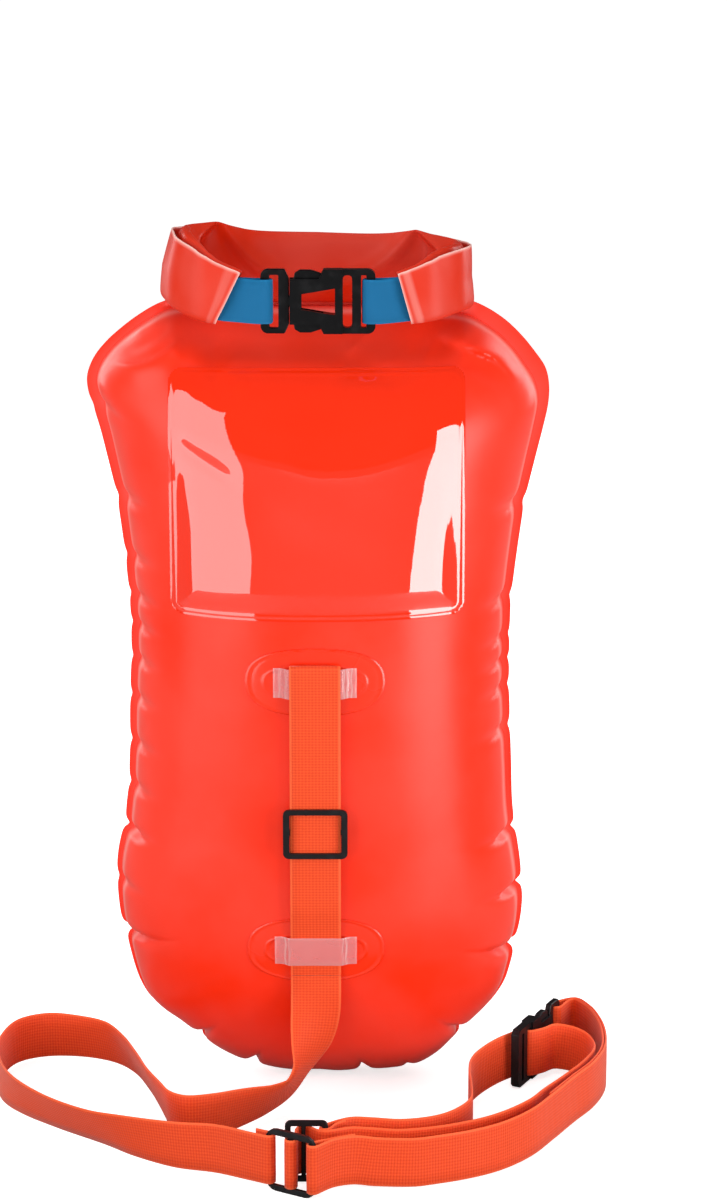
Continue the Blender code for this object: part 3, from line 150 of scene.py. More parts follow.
def add_attribute(piece, name, values):
    layer = piece.data.attributes.new(name=name, type="FLOAT", domain="POINT")
    layer.data.foreach_set("value", np.array(values, np.float32))


def grid_faces(rows, columns, round_rows=False, round_columns=False):
    """Quads of a grid of rows by columns; a round side joins its last line to its first."""
    faces = []
    for row in range(rows if round_rows else rows - 1):
        base, following = row * columns, (row + 1) % rows * columns
        for column in range(columns if round_columns else columns - 1):
            beside = (column + 1) % columns
            faces.append((base + column, base + beside, following + beside, following + column))
    return faces


# ---------------------------------------------------------------- camera, worked out from the photograph
CAMERA_PLACE = (0.032, -2.3287, 0.9316)
CAMERA_AIM = (0.032, 0.0, 0.351)
SENSOR = 24.0
FOCAL_SHARE = 3404.0 / 1200.0


def make_camera():
    data = bpy.data.cameras.new("camera")
    data.sensor_fit = "VERTICAL"
    data.sensor_height = SENSOR
    data.sensor_width = SENSOR
    data.lens = SENSOR * FOCAL_SHARE
    data.clip_start = 0.05
    camera = bpy.data.objects.new("camera", data)
    bpy.context.scene.collection.objects.link(camera)
    camera.location = CAMERA_PLACE
    way = Vector(CAMERA_AIM) - camera.location
    camera.rotation_mode = "QUATERNION"
    camera.rotation_quaternion = way.to_track_quat("-Z", "Y")
    bpy.context.scene.camera = camera


# ---------------------------------------------------------------- material helpers
def new_material(name):
    material = bpy.data.materials.new(name)
    material.use_nodes = True
    tree = material.node_tree
    return material, tree, tree.nodes["Principled BSDF"]


def node(tree, kind, **settings):
    made = tree.nodes.new(kind)
    for key, value in settings.items():
        setattr(made, key, value)
    return made


def feed(tree, socket, value):
    """Give a socket a value, or link another socket to it."""
    if isinstance(value, (int, float, tuple)):
        socket.default_value = value
    else:
        tree.links.new(value, socket)


def set_inputs(tree, made, **values):
    """Feed a node's inputs by their labels, with _ for a space."""
    for label, value in values.items():
        feed(tree, made.inputs[label.replace("_", " ")], value)


def math_node(tree, operation, *values, clamp=False):
    made = node(tree, "ShaderNodeMath", operation=operation, use_clamp=clamp)
    for socket, value in zip(made.inputs, values):
        feed(tree, socket, value)
    return made.outputs[0]


def mix_colour(tree, factor, first, second):
    made = node(tree, "ShaderNodeMix", data_type="RGBA")
    for index, value in ((0, factor), (6, first), (7, second)):
        feed(tree, made.inputs[index], value)
    return made.outputs[2]


def ramp(tree, value, low, high):
    made = node(tree, "ShaderNodeMapRange", clamp=True, interpolation_type="SMOOTHSTEP")
    for socket, fed in zip(made.inputs, (value, low, high)):
        feed(tree, socket, fed)
    return made.outputs[0]


def noise_value(tree, vector, scale, detail=3.0, rough=0.5):
    made = node(tree, "ShaderNodeTexNoise")
    set_inputs(tree, made, Scale=scale, Detail=detail, Roughness=rough, Vector=vector)
    return made.outputs["Fac"]


def bump(tree, shader, height, distance):
    made = node(tree, "ShaderNodeBump")
    set_inputs(tree, made, Distance=distance, Strength=1.0, Height=height)
    feed(tree, shader.inputs["Normal"], made.outputs["Normal"])


def new_group(name, inputs, outputs):
    """A shader node group with a place and floats as inputs, and floats as outputs."""
    group = bpy.data.node_groups.new(name, "ShaderNodeTree")
    group.interface.new_socket(name="Place", in_out="INPUT", socket_type="NodeSocketVector")
    for label, value in inputs:
        group.interface.new_socket(name=label, in_out="INPUT", socket_type="NodeSocketFloat").default_value = value
    for label in outputs:
        group.interface.new_socket(name=label, in_out="OUTPUT", socket_type="NodeSocketFloat")
    return group, group.nodes.new("NodeGroupInput").outputs, group.nodes.new("NodeGroupOutput")


def use_group(tree, group, **values):
    made = node(tree, "ShaderNodeGroup", node_tree=group)
    set_inputs(tree, made, **values)
    return made


def film_mottle_group():
    """Fine waviness and faint cloudiness of welded film, from a place."""
    group, entry, leaving = new_group("film_mottle", [("Wave Scale", 60.0)], ["Height", "Cloud"])
    wave = noise_value(group, entry["Place"], entry["Wave Scale"], 4.0, 0.55)
    set_inputs(group, leaving, Height=wave, Cloud=noise_value(group, entry["Place"], 14.0))
    return group


def webbing_group():
    """A square grid of ribs, with painted shade between the yarns, with tight selvedges: from a strap's UV in metres.
    """
    group, entry, leaving = new_group("webbing_weave", [("Half Width", 0.0175), ("Rib", 0.0016)],
                                      ["Height", "Shade", "Edge"])
    split = group.nodes.new("ShaderNodeSeparateXYZ")
    feed(group, split.inputs[0], entry["Place"])

    def wave(place, turns):
        angle = math_node(group, "MULTIPLY", math_node(group, "DIVIDE", place, entry["Rib"]), turns)
        return math_node(group, "MULTIPLY_ADD", math_node(group, "SINE", angle), 0.5, 0.5)

    rib = wave(split.outputs[0], math.tau)
    yarn = wave(split.outputs[1], math.tau * 0.86)
    rough = noise_value(group, entry["Place"], 900.0, 2.0, 0.6)
    selvedge = math_node(group, "SUBTRACT", entry["Half Width"], 0.0018)
    edge = math_node(group, "SUBTRACT", math_node(group, "ABSOLUTE", split.outputs[1]), selvedge)
    edge = math_node(group, "DIVIDE", edge, 0.0006, clamp=True)
    height = math_node(group, "MULTIPLY_ADD", yarn, 0.36, math_node(group, "MULTIPLY", rib, 0.46))
    height = math_node(group, "MULTIPLY_ADD", rough, 0.25, height)
    set_inputs(group, leaving, Height=height, Shade=height, Edge=edge)
    return group


def plastic_wear_group():
    """Fine moulded grain and faint rubbed spots, from a place."""
    group, entry, leaving = new_group("moulded_grain", [], ["Height", "Rub"])
    grain = noise_value(group, entry["Place"], 1800.0, 3.0, 0.6)
    rub = noise_value(group, entry["Place"], 90.0, 4.0, 0.6)
    set_inputs(group, leaving, Height=grain, Rub=ramp(group, rub, 0.48, 0.72))
    return group


FILM = film_mottle_group()
WEAVE = webbing_group()
GRAIN = plastic_wear_group()


def film_material(name, colour, cloud_and_highlight_colour, rough, coat, mottle=0.00005, wave=45.0, attribute=None, alpha=1.0,
                  cloudy=0.05, coat_rough=0.10, coat_ior=1.5, shine=0.35):
    """Welded coloured film, faintly cloudy; an attribute on the piece brightens it with painted highlights, towards
    its welds.
    """
    material, tree, shader = new_material(name)
    place = node(tree, "ShaderNodeTexCoord").outputs["Object"]
    mottled = use_group(tree, FILM, Place=place, Wave_Scale=wave)
    cloud = ramp(tree, mottled.outputs["Cloud"], 0.3, 0.7)
    share = math_node(tree, "MULTIPLY", cloud, cloudy)
    if attribute:
        read = node(tree, "ShaderNodeAttribute", attribute_name=attribute)
        share = math_node(tree, "ADD", share, read.outputs["Fac"], clamp=True)
    set_inputs(tree, shader, Base_Color=mix_colour(tree, share, colour, cloud_and_highlight_colour),
               Roughness=math_node(tree, "MULTIPLY_ADD", cloud, rough * 0.18, rough),
               Coat_Weight=coat, Coat_Roughness=coat_rough, Coat_IOR=coat_ior, Specular_IOR_Level=shine, Alpha=alpha)
    bump(tree, shader, mottled.outputs["Height"], mottle)
    return material


def webbing_material(name, colour, painted_shade_colour, pale, half_width, rib=0.0020, sheen=0.20):
    material, tree, shader = new_material(name)
    place = node(tree, "ShaderNodeTexCoord").outputs["UV"]
    weave = use_group(tree, WEAVE, Place=place, Half_Width=half_width, Rib=rib)
    # The darker colour is painted shade in the grooves between the yarns.
    inside = mix_colour(tree, weave.outputs["Shade"], painted_shade_colour, colour)
    set_inputs(tree, shader, Base_Color=mix_colour(tree, weave.outputs["Edge"], inside, pale), Roughness=0.62,
               Specular_IOR_Level=0.25, Sheen_Weight=sheen, Sheen_Roughness=0.4)
    bump(tree, shader, weave.outputs["Height"], 0.00025)
    return material


def plastic_material(name, colour, rough):
    material, tree, shader = new_material(name)
    place = node(tree, "ShaderNodeTexCoord").outputs["Object"]
    moulded = use_group(tree, GRAIN, Place=place)
    pale = tuple(min(part * 1.6 + 0.002, 1.0) for part in colour[:3]) + (1.0,)
    set_inputs(tree, shader, Base_Color=mix_colour(tree, moulded.outputs["Rub"], colour, pale),
               Specular_IOR_Level=0.3,
               Roughness=math_node(tree, "MULTIPLY_ADD", moulded.outputs["Rub"], 0.10, rough))
    bump(tree, shader, moulded.outputs["Height"], 0.00002)
    return material


BAG_ORANGE = (0.95, 0.026, 0.0025, 1.0)
# Pink of the film's faint cloudiness and of the painted highlights along its welds and at the creases of its puckers.
CLOUD_AND_PAINTED_HIGHLIGHT_PINK = (1.0, 0.34, 0.30, 1.0)
bag_film = film_material("bag_film", BAG_ORANGE, CLOUD_AND_PAINTED_HIGHLIGHT_PINK, 0.32, 0.0, attribute="painted_rim_highlight")
rim_film = film_material("rim_film", (0.86, 0.030, 0.004, 1.0), (1.0, 0.12, 0.08, 1.0), 0.40, 0.0)
# The roll: a darker copy of the bag's film, which is painted shade; its pale pink is a painted highlight along its
# cut edge and folded ends.
roll_film = film_material("roll_film", (0.70, 0.024, 0.003, 1.0), (1.0, 0.62, 0.55, 1.0), 0.36, 0.0,
                          attribute="painted_rim_highlight", shine=0.2)
patch_film = film_material("patch_film", (0.90, 0.028, 0.003, 1.0), (1.0, 0.13, 0.09, 1.0), 0.24, 0.5)
window_film = film_material("window_film", (0.92, 0.026, 0.003, 1.0), (1.0, 0.06, 0.02, 1.0), 0.06, 1.0,
                            mottle=0.00002, wave=16.0, coat_rough=0.02, coat_ior=1.9, shine=0.1)
# The clear bands: their pale pink is painted highlight along their creases and edges.
band_film = film_material("band_film", (0.90, 0.30, 0.30, 1.0), (1.0, 0.80, 0.78, 1.0), 0.12, 1.0, alpha=0.42,
                          cloudy=0.10, attribute="painted_crease_highlight", shine=0.5)
leash_webbing = webbing_material("leash_webbing", (0.88, 0.090, 0.018, 1.0), (0.68, 0.038, 0.006, 1.0),
                                 (0.91, 0.116, 0.030, 1.0), 0.0175)
closure_webbing = webbing_material("closure_webbing", (0.004, 0.155, 0.350, 1.0), (0.003, 0.130, 0.300, 1.0),
                                   (0.005, 0.160, 0.360, 1.0), 0.0150, 0.0006, sheen=0.02)
black_plastic = plastic_material("black_plastic", (0.003, 0.003, 0.0035, 1.0), 0.34)
satin_plastic = plastic_material("satin_plastic", (0.006, 0.006, 0.007, 1.0), 0.42)
stiffener_plastic = plastic_material("stiffener_plastic", (0.62, 0.60, 0.55, 1.0), 0.5)
valve_clear = plastic_material("valve_clear", (0.80, 0.62, 0.58, 1.0), 0.25)
valve_rubber = plastic_material("valve_rubber", (0.70, 0.10, 0.04, 1.0), 0.55)


# ---------------------------------------------------------------- cords: leash and belt webbing
def webbing_piece(name, rows, width, thick, material, body, spacing=0.0018):
    """A strap along rows of place and the way its width points, rounded at its selvedges."""
    even, lengths = smooth_way(rows, spacing)
    middles = even[:, :3]
    ways = unit(np.gradient(middles, axis=0))
    across = even[:, 3:6]
    across = unit(across - ways * np.sum(across * ways, axis=1, keepdims=True))
    normals = unit(np.cross(ways, across))
    half, skin = width / 2.0, thick / 2.0
    flat = half - skin * 0.8
    profile = []
    for side in (-1.0, 1.0):
        for share in (0.0, 0.25, 0.5, 0.75, 0.93, 0.985):
            place = -side * flat + side * 2.0 * flat * share
            profile.append((place, side * (skin if abs(place) < half * 0.8 else skin * 0.92)))
        profile.append((side * half, 0.0))
    points, uvs = [], []
    for index in range(len(middles)):
        for place, lift in profile:
            points.append(middles[index] + across[index] * place + normals[index] * lift)
            uvs.append((lengths[index], place))
    count = len(profile)
    faces = grid_faces(len(middles), count, round_columns=True)
    faces.append(tuple(range(count))[::-1])
    last = (len(middles) - 1) * count
    faces.append(tuple(range(last, last + count)))
    piece = mesh_piece(name, points, faces, material, body, uvs, 50.0)
    bm = bmesh.new()
    bm.from_mesh(piece.data)
    if bm.calc_volume(signed=True) < 0.0:
        bmesh.ops.reverse_faces(bm, faces=bm.faces)
    bm.to_mesh(piece.data)
    bm.free()
    return piece, middles, float(lengths[-1])


def upright(points):
    return [tuple(point) + (0.0, 0.0, 1.0) for point in points]


def half_turn(bar, away, radius=LOOP_RADIUS):
    """Half a turn round an upright bar of the belt, open towards the way that the strap leaves."""
    start = math.atan2(away[1], away[0])
    rows = []
    for step in range(LOOP_STEPS + 1):
        angle = start + (math.pi / 2.0 + math.pi * step / LOOP_STEPS)
        rows.append((bar[0] + radius * math.cos(angle), bar[1] + radius * math.sin(angle), BELT_MIDDLE))
    return rows


def way_from(bar, place):
    return place[0] - bar[0], place[1] - bar[1]


def laid_webbing(name, rows, body, node_name=None):
    """A length of the leash's or belt's webbing, in place of a node."""
    laid = webbing_piece(name, rows, WEBBING_WIDTH, WEBBING_THICK, leash_webbing, body)
    if node_name:
        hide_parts(node_name)
    return laid


LEASH_ROUTE = (
    (-0.0015, -0.0893, 0.1035, -1.00, 0.00, 0.00), (-0.0015, -0.0905, 0.0900, -1.00, 0.00, 0.00),
    (-0.0020, -0.0920, 0.0750, -0.97, -0.20, 0.00), (-0.0050, -0.0945, 0.0550, -0.80, -0.58, 0.02),
    (-0.0110, -0.0970, 0.0380, -0.42, -0.88, 0.22), (-0.0210, -0.1010, 0.0240, -0.05, -0.76, 0.66),
    (-0.0350, -0.1100, 0.0190, 0.16, -0.50, 0.85), (-0.0540, -0.1230, 0.0182, 0.10, -0.28, 0.955),
    (-0.0720, -0.1350, 0.0182, 0.04, -0.14, 0.99), (-0.0900, -0.1400, 0.0182, 0.00, -0.08, 0.997),
    (-0.1010, -0.1300, 0.0182, -0.04, -0.20, 0.98), (-0.1080, -0.1100, 0.0183, -0.20, -0.10, 0.97),
    (-0.1160, -0.0850, 0.0180, -0.30, -0.12, 0.95), (-0.1250, -0.0550, 0.0180, -0.32, -0.12, 0.945),
    (-0.1380, -0.0200, 0.0180, -0.28, -0.16, 0.95), (-0.1530, 0.0020, 0.0183, -0.16, -0.16, 0.97),
    (-0.1750, 0.0140, 0.0182, -0.05, -0.16, 0.985), (-0.2000, 0.0170, 0.0182, 0.05, -0.06, 0.997),
    (-0.2200, 0.0050, 0.0182, 0.06, -0.03, 0.998), (-0.2300, -0.0300, 0.0182, 0.03, 0.00, 0.999),
    (-0.2260, -0.0650, 0.0182, -0.04, -0.06, 0.997), (-0.2120, -0.0950, 0.0178, -0.20, -0.24, 0.94),
    (-0.1840, -0.1250, 0.0165, -0.30, -0.36, 0.87), (-0.1500, -0.1530, 0.0165, -0.28, -0.38, 0.87),
    (-0.1280, -0.1700, 0.0178, -0.16, -0.26, 0.945), (-0.0960, -0.1870, 0.0185, -0.03, -0.10, 0.99),
    (-0.0680, -0.1970, 0.0200, 0.00, 0.00, 1.00),
)
FIXED_START = ((0.0260, -0.2176, 0.0220), (0.0120, -0.2236, 0.0220))
FIXED_ROUTE = (
    (0.0120, -0.2257, 0.0220), (0.0260, -0.2197, 0.0215), (0.0400, -0.2180, 0.0195), (0.0660, -0.2155, 0.0180),
    (0.0780, -0.2120, 0.0180), (0.1030, -0.2020, 0.0180), (0.1250, -0.1880, 0.0180), (0.1460, -0.1650, 0.0180),
    (0.1620, -0.1370, 0.0180), (0.1790, -0.1050, 0.0180), (0.1940, -0.0780, 0.0180), (0.2035, -0.0500, 0.0182),
    (0.2060, -0.0250, 0.0190), (0.2040, 0.0000, 0.0205), (0.1980, 0.0220, 0.0218), (0.1880, 0.0380, 0.0220),
)
DOUBLED_ROUTE = (
    (0.1862, 0.0369, 0.0220), (0.1961, 0.0212, 0.0218), (0.2019, -0.0004, 0.0205), (0.2039, -0.0250, 0.0190),
    (0.2015, -0.0495, 0.0182), (0.1921, -0.0771, 0.0180), (0.1772, -0.1040, 0.0180), (0.1602, -0.1360, 0.0180),
)
ADJUSTING_ROUTE = (
    (-0.0136, -0.2130, 0.0220), (-0.0132, -0.2075, 0.0220), (-0.0112, -0.2036, 0.0220), (-0.0085, -0.2027, 0.0220),
    (-0.0060, -0.2030, 0.0220), (-0.0026, -0.2058, 0.0220), (-0.0002, -0.2086, 0.0220), (0.0026, -0.2106, 0.0220),
    (0.0062, -0.2114, 0.0220), (0.0105, -0.2106, 0.0220), (0.0150, -0.2082, 0.0218), (0.0230, -0.2040, 0.0212),
    (0.0360, -0.2022, 0.0200), (0.0540, -0.2015, 0.0185), (0.0760, -0.1965, 0.0180), (0.1000, -0.1870, 0.0180),
    (0.1230, -0.1720, 0.0180), (0.1450, -0.1480, 0.0180), (0.1570, -0.1270, 0.0180), (0.1730, -0.1010, 0.0180),
    (0.1880, -0.0740, 0.0180), (0.1965, -0.0500, 0.0185), (0.1935, -0.0300, 0.0195), (0.1840, -0.0190, 0.0208),
    (0.1705, -0.0150, 0.0218), (0.1619, -0.0229, 0.0220), (0.1552, -0.0274, 0.0220), (0.1509, -0.0289, 0.0220),
    (0.1475, -0.0277, 0.0220), (0.1448, -0.0264, 0.0220), (0.1424, -0.0267, 0.0220), (0.1405, -0.0291, 0.0220),
    (0.1379, -0.0323, 0.0220), (0.1290, -0.0400, 0.0212), (0.1180, -0.0520, 0.0195), (0.1090, -0.0680, 0.0182),
    (0.1060, -0.0900, 0.0180), (0.1065, -0.1200, 0.0180), (0.1050, -0.1450, 0.0180), (0.0930, -0.1660, 0.0180),
    (0.0790, -0.1770, 0.0180), (0.0570, -0.1840, 0.0185), (0.0380, -0.1850, 0.0200), (0.0240, -0.1875, 0.0215),
    (0.0150, -0.1930, 0.0220),
)
ADJUSTING_END = ((0.0135, -0.1985, 0.0220), (0.0195, -0.1931, 0.0220))
TAIL = 0.012


def make_cords():
    leaving = way_from(RING_LEFT_BAR, LEASH_ROUTE[-1])
    size = math.hypot(*leaving)
    loop = half_turn(RING_LEFT_BAR, leaving)
    ends = []
    for place in (loop[0], loop[-1]):
        ends.append((place[0] + leaving[0] / size * TAIL, place[1] + leaving[1] / size * TAIL, BELT_MIDDLE))
    rows = list(LEASH_ROUTE) + upright([ends[0]] + loop + [ends[1]])
    laid_webbing("leash_free", rows, "bag", "leash_free_webbing")

    loop = half_turn(RING_RIGHT_BAR, way_from(RING_RIGHT_BAR, FIXED_ROUTE[1]))
    turn = half_turn(BELT_MALE_BAR, way_from(BELT_MALE_BAR, FIXED_ROUTE[-1]), MALE_LOOP_RADIUS)
    rows = list(FIXED_START) + loop + list(FIXED_ROUTE) + turn
    fixed = laid_webbing("belt_fixed", upright(rows), None, "belt_fixed_webbing")
    doubled = laid_webbing("belt_fixed_doubled", upright([turn[-1]] + list(DOUBLED_ROUTE)), None)
    for layer in (fixed[0], doubled[0]):
        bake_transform(layer)

    leaving = way_from(RING_CENTRE, ADJUSTING_ROUTE[0])
    loop = half_turn(RING_CENTRE, leaving)
    tail = (loop[0][0] + leaving[0] * 0.5, loop[0][1] + leaving[1] * 0.5, BELT_MIDDLE)
    end_loop = half_turn(ADJUSTER_RIGHT_BAR, way_from(ADJUSTER_RIGHT_BAR, ADJUSTING_ROUTE[-1]), ADJUSTER_LOOP_RADIUS)
    rows = [tail] + loop + list(ADJUSTING_ROUTE) + end_loop + list(ADJUSTING_END)
    laid_webbing("belt_adjusting", upright(rows), "bag", "belt_adjusting_webbing")


# ---------------------------------------------------------------- the bag's outline and sheets
# Seam from the bottom middle up the right side to the neck's middle, then the same on the left: x, z
RIGHT_SEAM = (
    (0.000, 0.001), (0.014, 0.000), (0.030, 0.001), (0.051, 0.002), (0.073, 0.006), (0.088, 0.015), (0.102, 0.029),
    (0.116, 0.043), (0.127, 0.056), (0.134, 0.068), (0.138, 0.081), (0.141, 0.093), (0.143, 0.105), (0.145, 0.117),
    (0.146, 0.130), (0.1455, 0.145), (0.144, 0.160), (0.142, 0.174), (0.140, 0.187), (0.138, 0.204), (0.137, 0.232),
    (0.136, 0.260), (0.135, 0.290), (0.135, 0.320), (0.1355, 0.347), (0.1375, 0.370), (0.140, 0.391),
    (0.143, 0.412), (0.147, 0.434), (0.152, 0.456), (0.157, 0.477), (0.1600, 0.492), (0.1605, 0.505),
    (0.158, 0.517), (0.150, 0.529), (0.140, 0.541), (0.128, 0.552), (0.111, 0.562), (0.098, 0.565),
    (0.080, 0.5640), (0.050, 0.5635), (0.000, 0.5635),
)
LEFT_SEAM = (
    (0.000, 0.001), (-0.022, 0.001), (-0.040, 0.004), (-0.060, 0.010), (-0.077, 0.019), (-0.092, 0.030),
    (-0.104, 0.040), (-0.115, 0.048), (-0.124, 0.057), (-0.130, 0.068), (-0.134, 0.080), (-0.137, 0.092),
    (-0.140, 0.104), (-0.143, 0.116), (-0.1445, 0.128), (-0.1455, 0.143), (-0.1455, 0.156), (-0.144, 0.169),
    (-0.1415, 0.181), (-0.139, 0.193), (-0.1375, 0.205), (-0.136, 0.220), (-0.135, 0.240), (-0.1345, 0.260),
    (-0.134, 0.285), (-0.133, 0.305), (-0.1325, 0.325), (-0.133, 0.347), (-0.1345, 0.369), (-0.1365, 0.391),
    (-0.139, 0.412), (-0.1425, 0.434), (-0.147, 0.455), (-0.152, 0.476), (-0.1560, 0.489), (-0.1595, 0.501),
    (-0.1600, 0.512), (-0.1555, 0.524), (-0.147, 0.535), (-0.136, 0.545), (-0.124, 0.554), (-0.110, 0.562),
    (-0.098, 0.565), (-0.080, 0.5640), (-0.050, 0.5635), (0.000, 0.5635),
)
# Puckers of the weld: x, z, how deep the rim is drawn in, half width of the notch, length and depth of its crease
PUCKERS = (
    (0.034, 0.001, 0.0070, 0.0030, 0.010, 0.0040), (0.066, 0.006, 0.0012, 0.0030, 0.008, 0.0012),
    (0.105, 0.034, 0.0072, 0.0034, 0.014, 0.0045),
    (0.141, 0.096, 0.0085, 0.0034, 0.017, 0.0055), (0.145, 0.144, 0.0050, 0.0032, 0.014, 0.0045),
    (0.140, 0.186, 0.0035, 0.0032, 0.018, 0.0045), (0.136, 0.261, 0.0018, 0.0045, 0.015, 0.0025),
    (0.135, 0.290, 0.0014, 0.0040, 0.011, 0.0018), (0.135, 0.310, 0.0014, 0.0036, 0.010, 0.0018),
    (0.135, 0.327, 0.0012, 0.0040, 0.011, 0.0016), (0.136, 0.355, 0.0015, 0.0050, 0.014, 0.0024),
    (0.145, 0.424, 0.0018, 0.0060, 0.016, 0.0024),
    (-0.0505, 0.008, 0.0085, 0.0032, 0.010, 0.0040), (-0.0885, 0.029, 0.0080, 0.0034, 0.012, 0.0045),
    (-0.1385, 0.108, 0.0085, 0.0034, 0.017, 0.0055), (-0.1455, 0.148, 0.0016, 0.0045, 0.010, 0.0018),
    (-0.140, 0.187, 0.0042, 0.0036, 0.013, 0.0034), (-0.1365, 0.218, 0.0018, 0.0045, 0.012, 0.0022),
    (-0.135, 0.250, 0.0018, 0.0045, 0.012, 0.0022), (-0.134, 0.283, 0.0016, 0.0045, 0.012, 0.0022),
    (-0.133, 0.312, 0.0014, 0.0042, 0.011, 0.0020), (-0.133, 0.336, 0.0014, 0.0042, 0.011, 0.0020),
    (-0.134, 0.358, 0.0015, 0.0045, 0.012, 0.0022), (-0.136, 0.385, 0.0015, 0.0050, 0.013, 0.0024),
    (-0.1415, 0.427, 0.0016, 0.0058, 0.015, 0.0026), (-0.157, 0.491, 0.0008, 0.0060, 0.014, 0.0020),
)
SEAM_COUNT = 900
SEAM_REACH = 6
RING_COUNT = 84
RING_SHARES = 0.5 - 0.5 * np.cos(np.pi * np.arange(RING_COUNT + 1) / RING_COUNT)
RIM_LOWEST = 0.0006
RIM_HALF_THICK = 0.0006
RIM_REACH = 0.026
PUCKER_REACH = 0.0115
BULGE_START = 0.006


def ease(share):
    share = np.clip(share, 0.0, 1.0)
    return share * share * (3.0 - 2.0 * share)


def seam_line():
    """Closed seam, bottom middle first and up the right side, with the way in at each point."""
    right, left = (smooth_way([(x, 0.0, z) for x, z in side], 0.0004)[0] for side in (RIGHT_SEAM, LEFT_SEAM))
    loop = np.vstack([right[:-1], left[::-1][:-1]])[:, [0, 2]]
    closed = np.vstack([loop, loop[:1]])
    lengths = run_lengths(closed)
    goals = np.linspace(0.0, lengths[-1], SEAM_COUNT + 1)[:-1]
    line = read_rows(goals, lengths, closed)
    way = unit(np.roll(line, -SEAM_REACH, axis=0) - np.roll(line, SEAM_REACH, axis=0))
    inward = np.stack([-way[:, 1], way[:, 0]], axis=1)
    return line, goals, inward, lengths[-1]


def pucker_fields(line, goals, total):
    """How far the rim is drawn in at each seam point, and each crease: way along the seam to it, and its sizes."""
    drawn = np.zeros(len(line))
    creases = []
    for x, z, depth, width, length, dip in PUCKERS:
        nearest = int(np.argmin(np.linalg.norm(line - np.array((x, z)), axis=1)))
        gap = np.abs(goals - goals[nearest])
        gap = np.minimum(gap, total - gap)
        drawn += depth / (1.0 + (gap / width) ** 2) ** 1.5
        creases.append((gap, width, length, dip))
    return drawn, creases


SEAM, SEAM_AT, SEAM_IN, SEAM_LENGTH = seam_line()
DRAWN, CREASES = pucker_fields(SEAM, SEAM_AT, SEAM_LENGTH)
RIM_WIDTHS = np.interp(SEAM[:, 1], (0.00, 0.06, 0.15, 0.25, 0.42, 0.50, 0.54),
                       (0.0022, 0.0026, 0.0036, 0.0048, 0.0060, 0.0078, 0.0060))
RIM_WIDTHS = RIM_WIDTHS + 0.0042 * ease((SEAM[:, 0] - 0.070) / 0.02) * ease((SEAM[:, 1] - 0.492) / 0.03)
SCALLOP = sum(0.0011 * np.exp(-(gap / (1.1 * width)) ** 2) for gap, width, length, dip in CREASES)


def calm(line, reach):
    """A closed line smoothed over its neighbours."""
    weights = np.hanning(2 * reach + 1)
    weights /= weights.sum()
    around = np.vstack([line[-reach:], line, line[:reach]])
    return np.stack([np.convolve(around[:, column], weights, "valid") for column in range(2)], axis=1)


def neck_setback(x, z):
    """How far back the sheets go below the roll."""
    return 0.022 * ease((0.115 - np.abs(x)) / 0.050) * ease((z - 0.512) / 0.044)


def sheet_grid(depth, lobed):
    """Seam, inner edge of the weld, and at all seam points and rings the place, the bulge and the way to the weld.

    The puckers draw in only the last centimetre, so that the body stays smooth."""
    seam = SEAM + SEAM_IN * DRAWN[:, None]
    seam[:, 1] = np.maximum(seam[:, 1], RIM_LOWEST)
    inner = SEAM + SEAM_IN * RIM_WIDTHS[:, None]
    smooth = calm(inner, 34)
    low = np.clip(smooth[:, 1], SPINE_LOW, SPINE_HIGH)
    spine = np.stack([np.zeros(len(low)), low], axis=1)
    flat = spine[:, None, :] + (smooth - spine)[:, None, :] * RING_SHARES[None, :, None]
    far = np.linalg.norm(flat - smooth[:, None, :], axis=2)
    pull = SEAM_IN * (DRAWN + SCALLOP)[:, None]
    flat = flat + (inner - smooth)[:, None, :] * np.exp(-(far / RIM_REACH) ** 2)[:, :, None]
    flat = flat + pull[:, None, :] * np.exp(-(far / PUCKER_REACH) ** 2)[:, :, None]
    inner = inner + pull
    bulge = depth * np.sqrt(np.maximum(1.0 - RING_SHARES ** 2.3, 0.0))[None, :]
    bulge = np.repeat(bulge, len(low), axis=0)
    if lobed:
        rise = np.clip((np.abs(flat[:, :, 0]) - 0.004) / 0.045, 0.0, 1.0)
        bulge = bulge * np.sin(np.pi / 2.0 * rise)
    return seam, inner, flat, bulge, np.linalg.norm(flat - inner[:, None, :], axis=2)


def crease_depth(to_rim):
    """How far the creases draw a sheet in, near its rim."""
    dent = np.zeros_like(to_rim)
    for gap, width, length, dip in CREASES:
        along = np.exp(-(to_rim / length) ** 2)
        wide = width * (0.75 + 0.9 * to_rim / length)
        dent += dip * np.exp(-(gap[:, None] / wide) ** 2) * along
    return dent


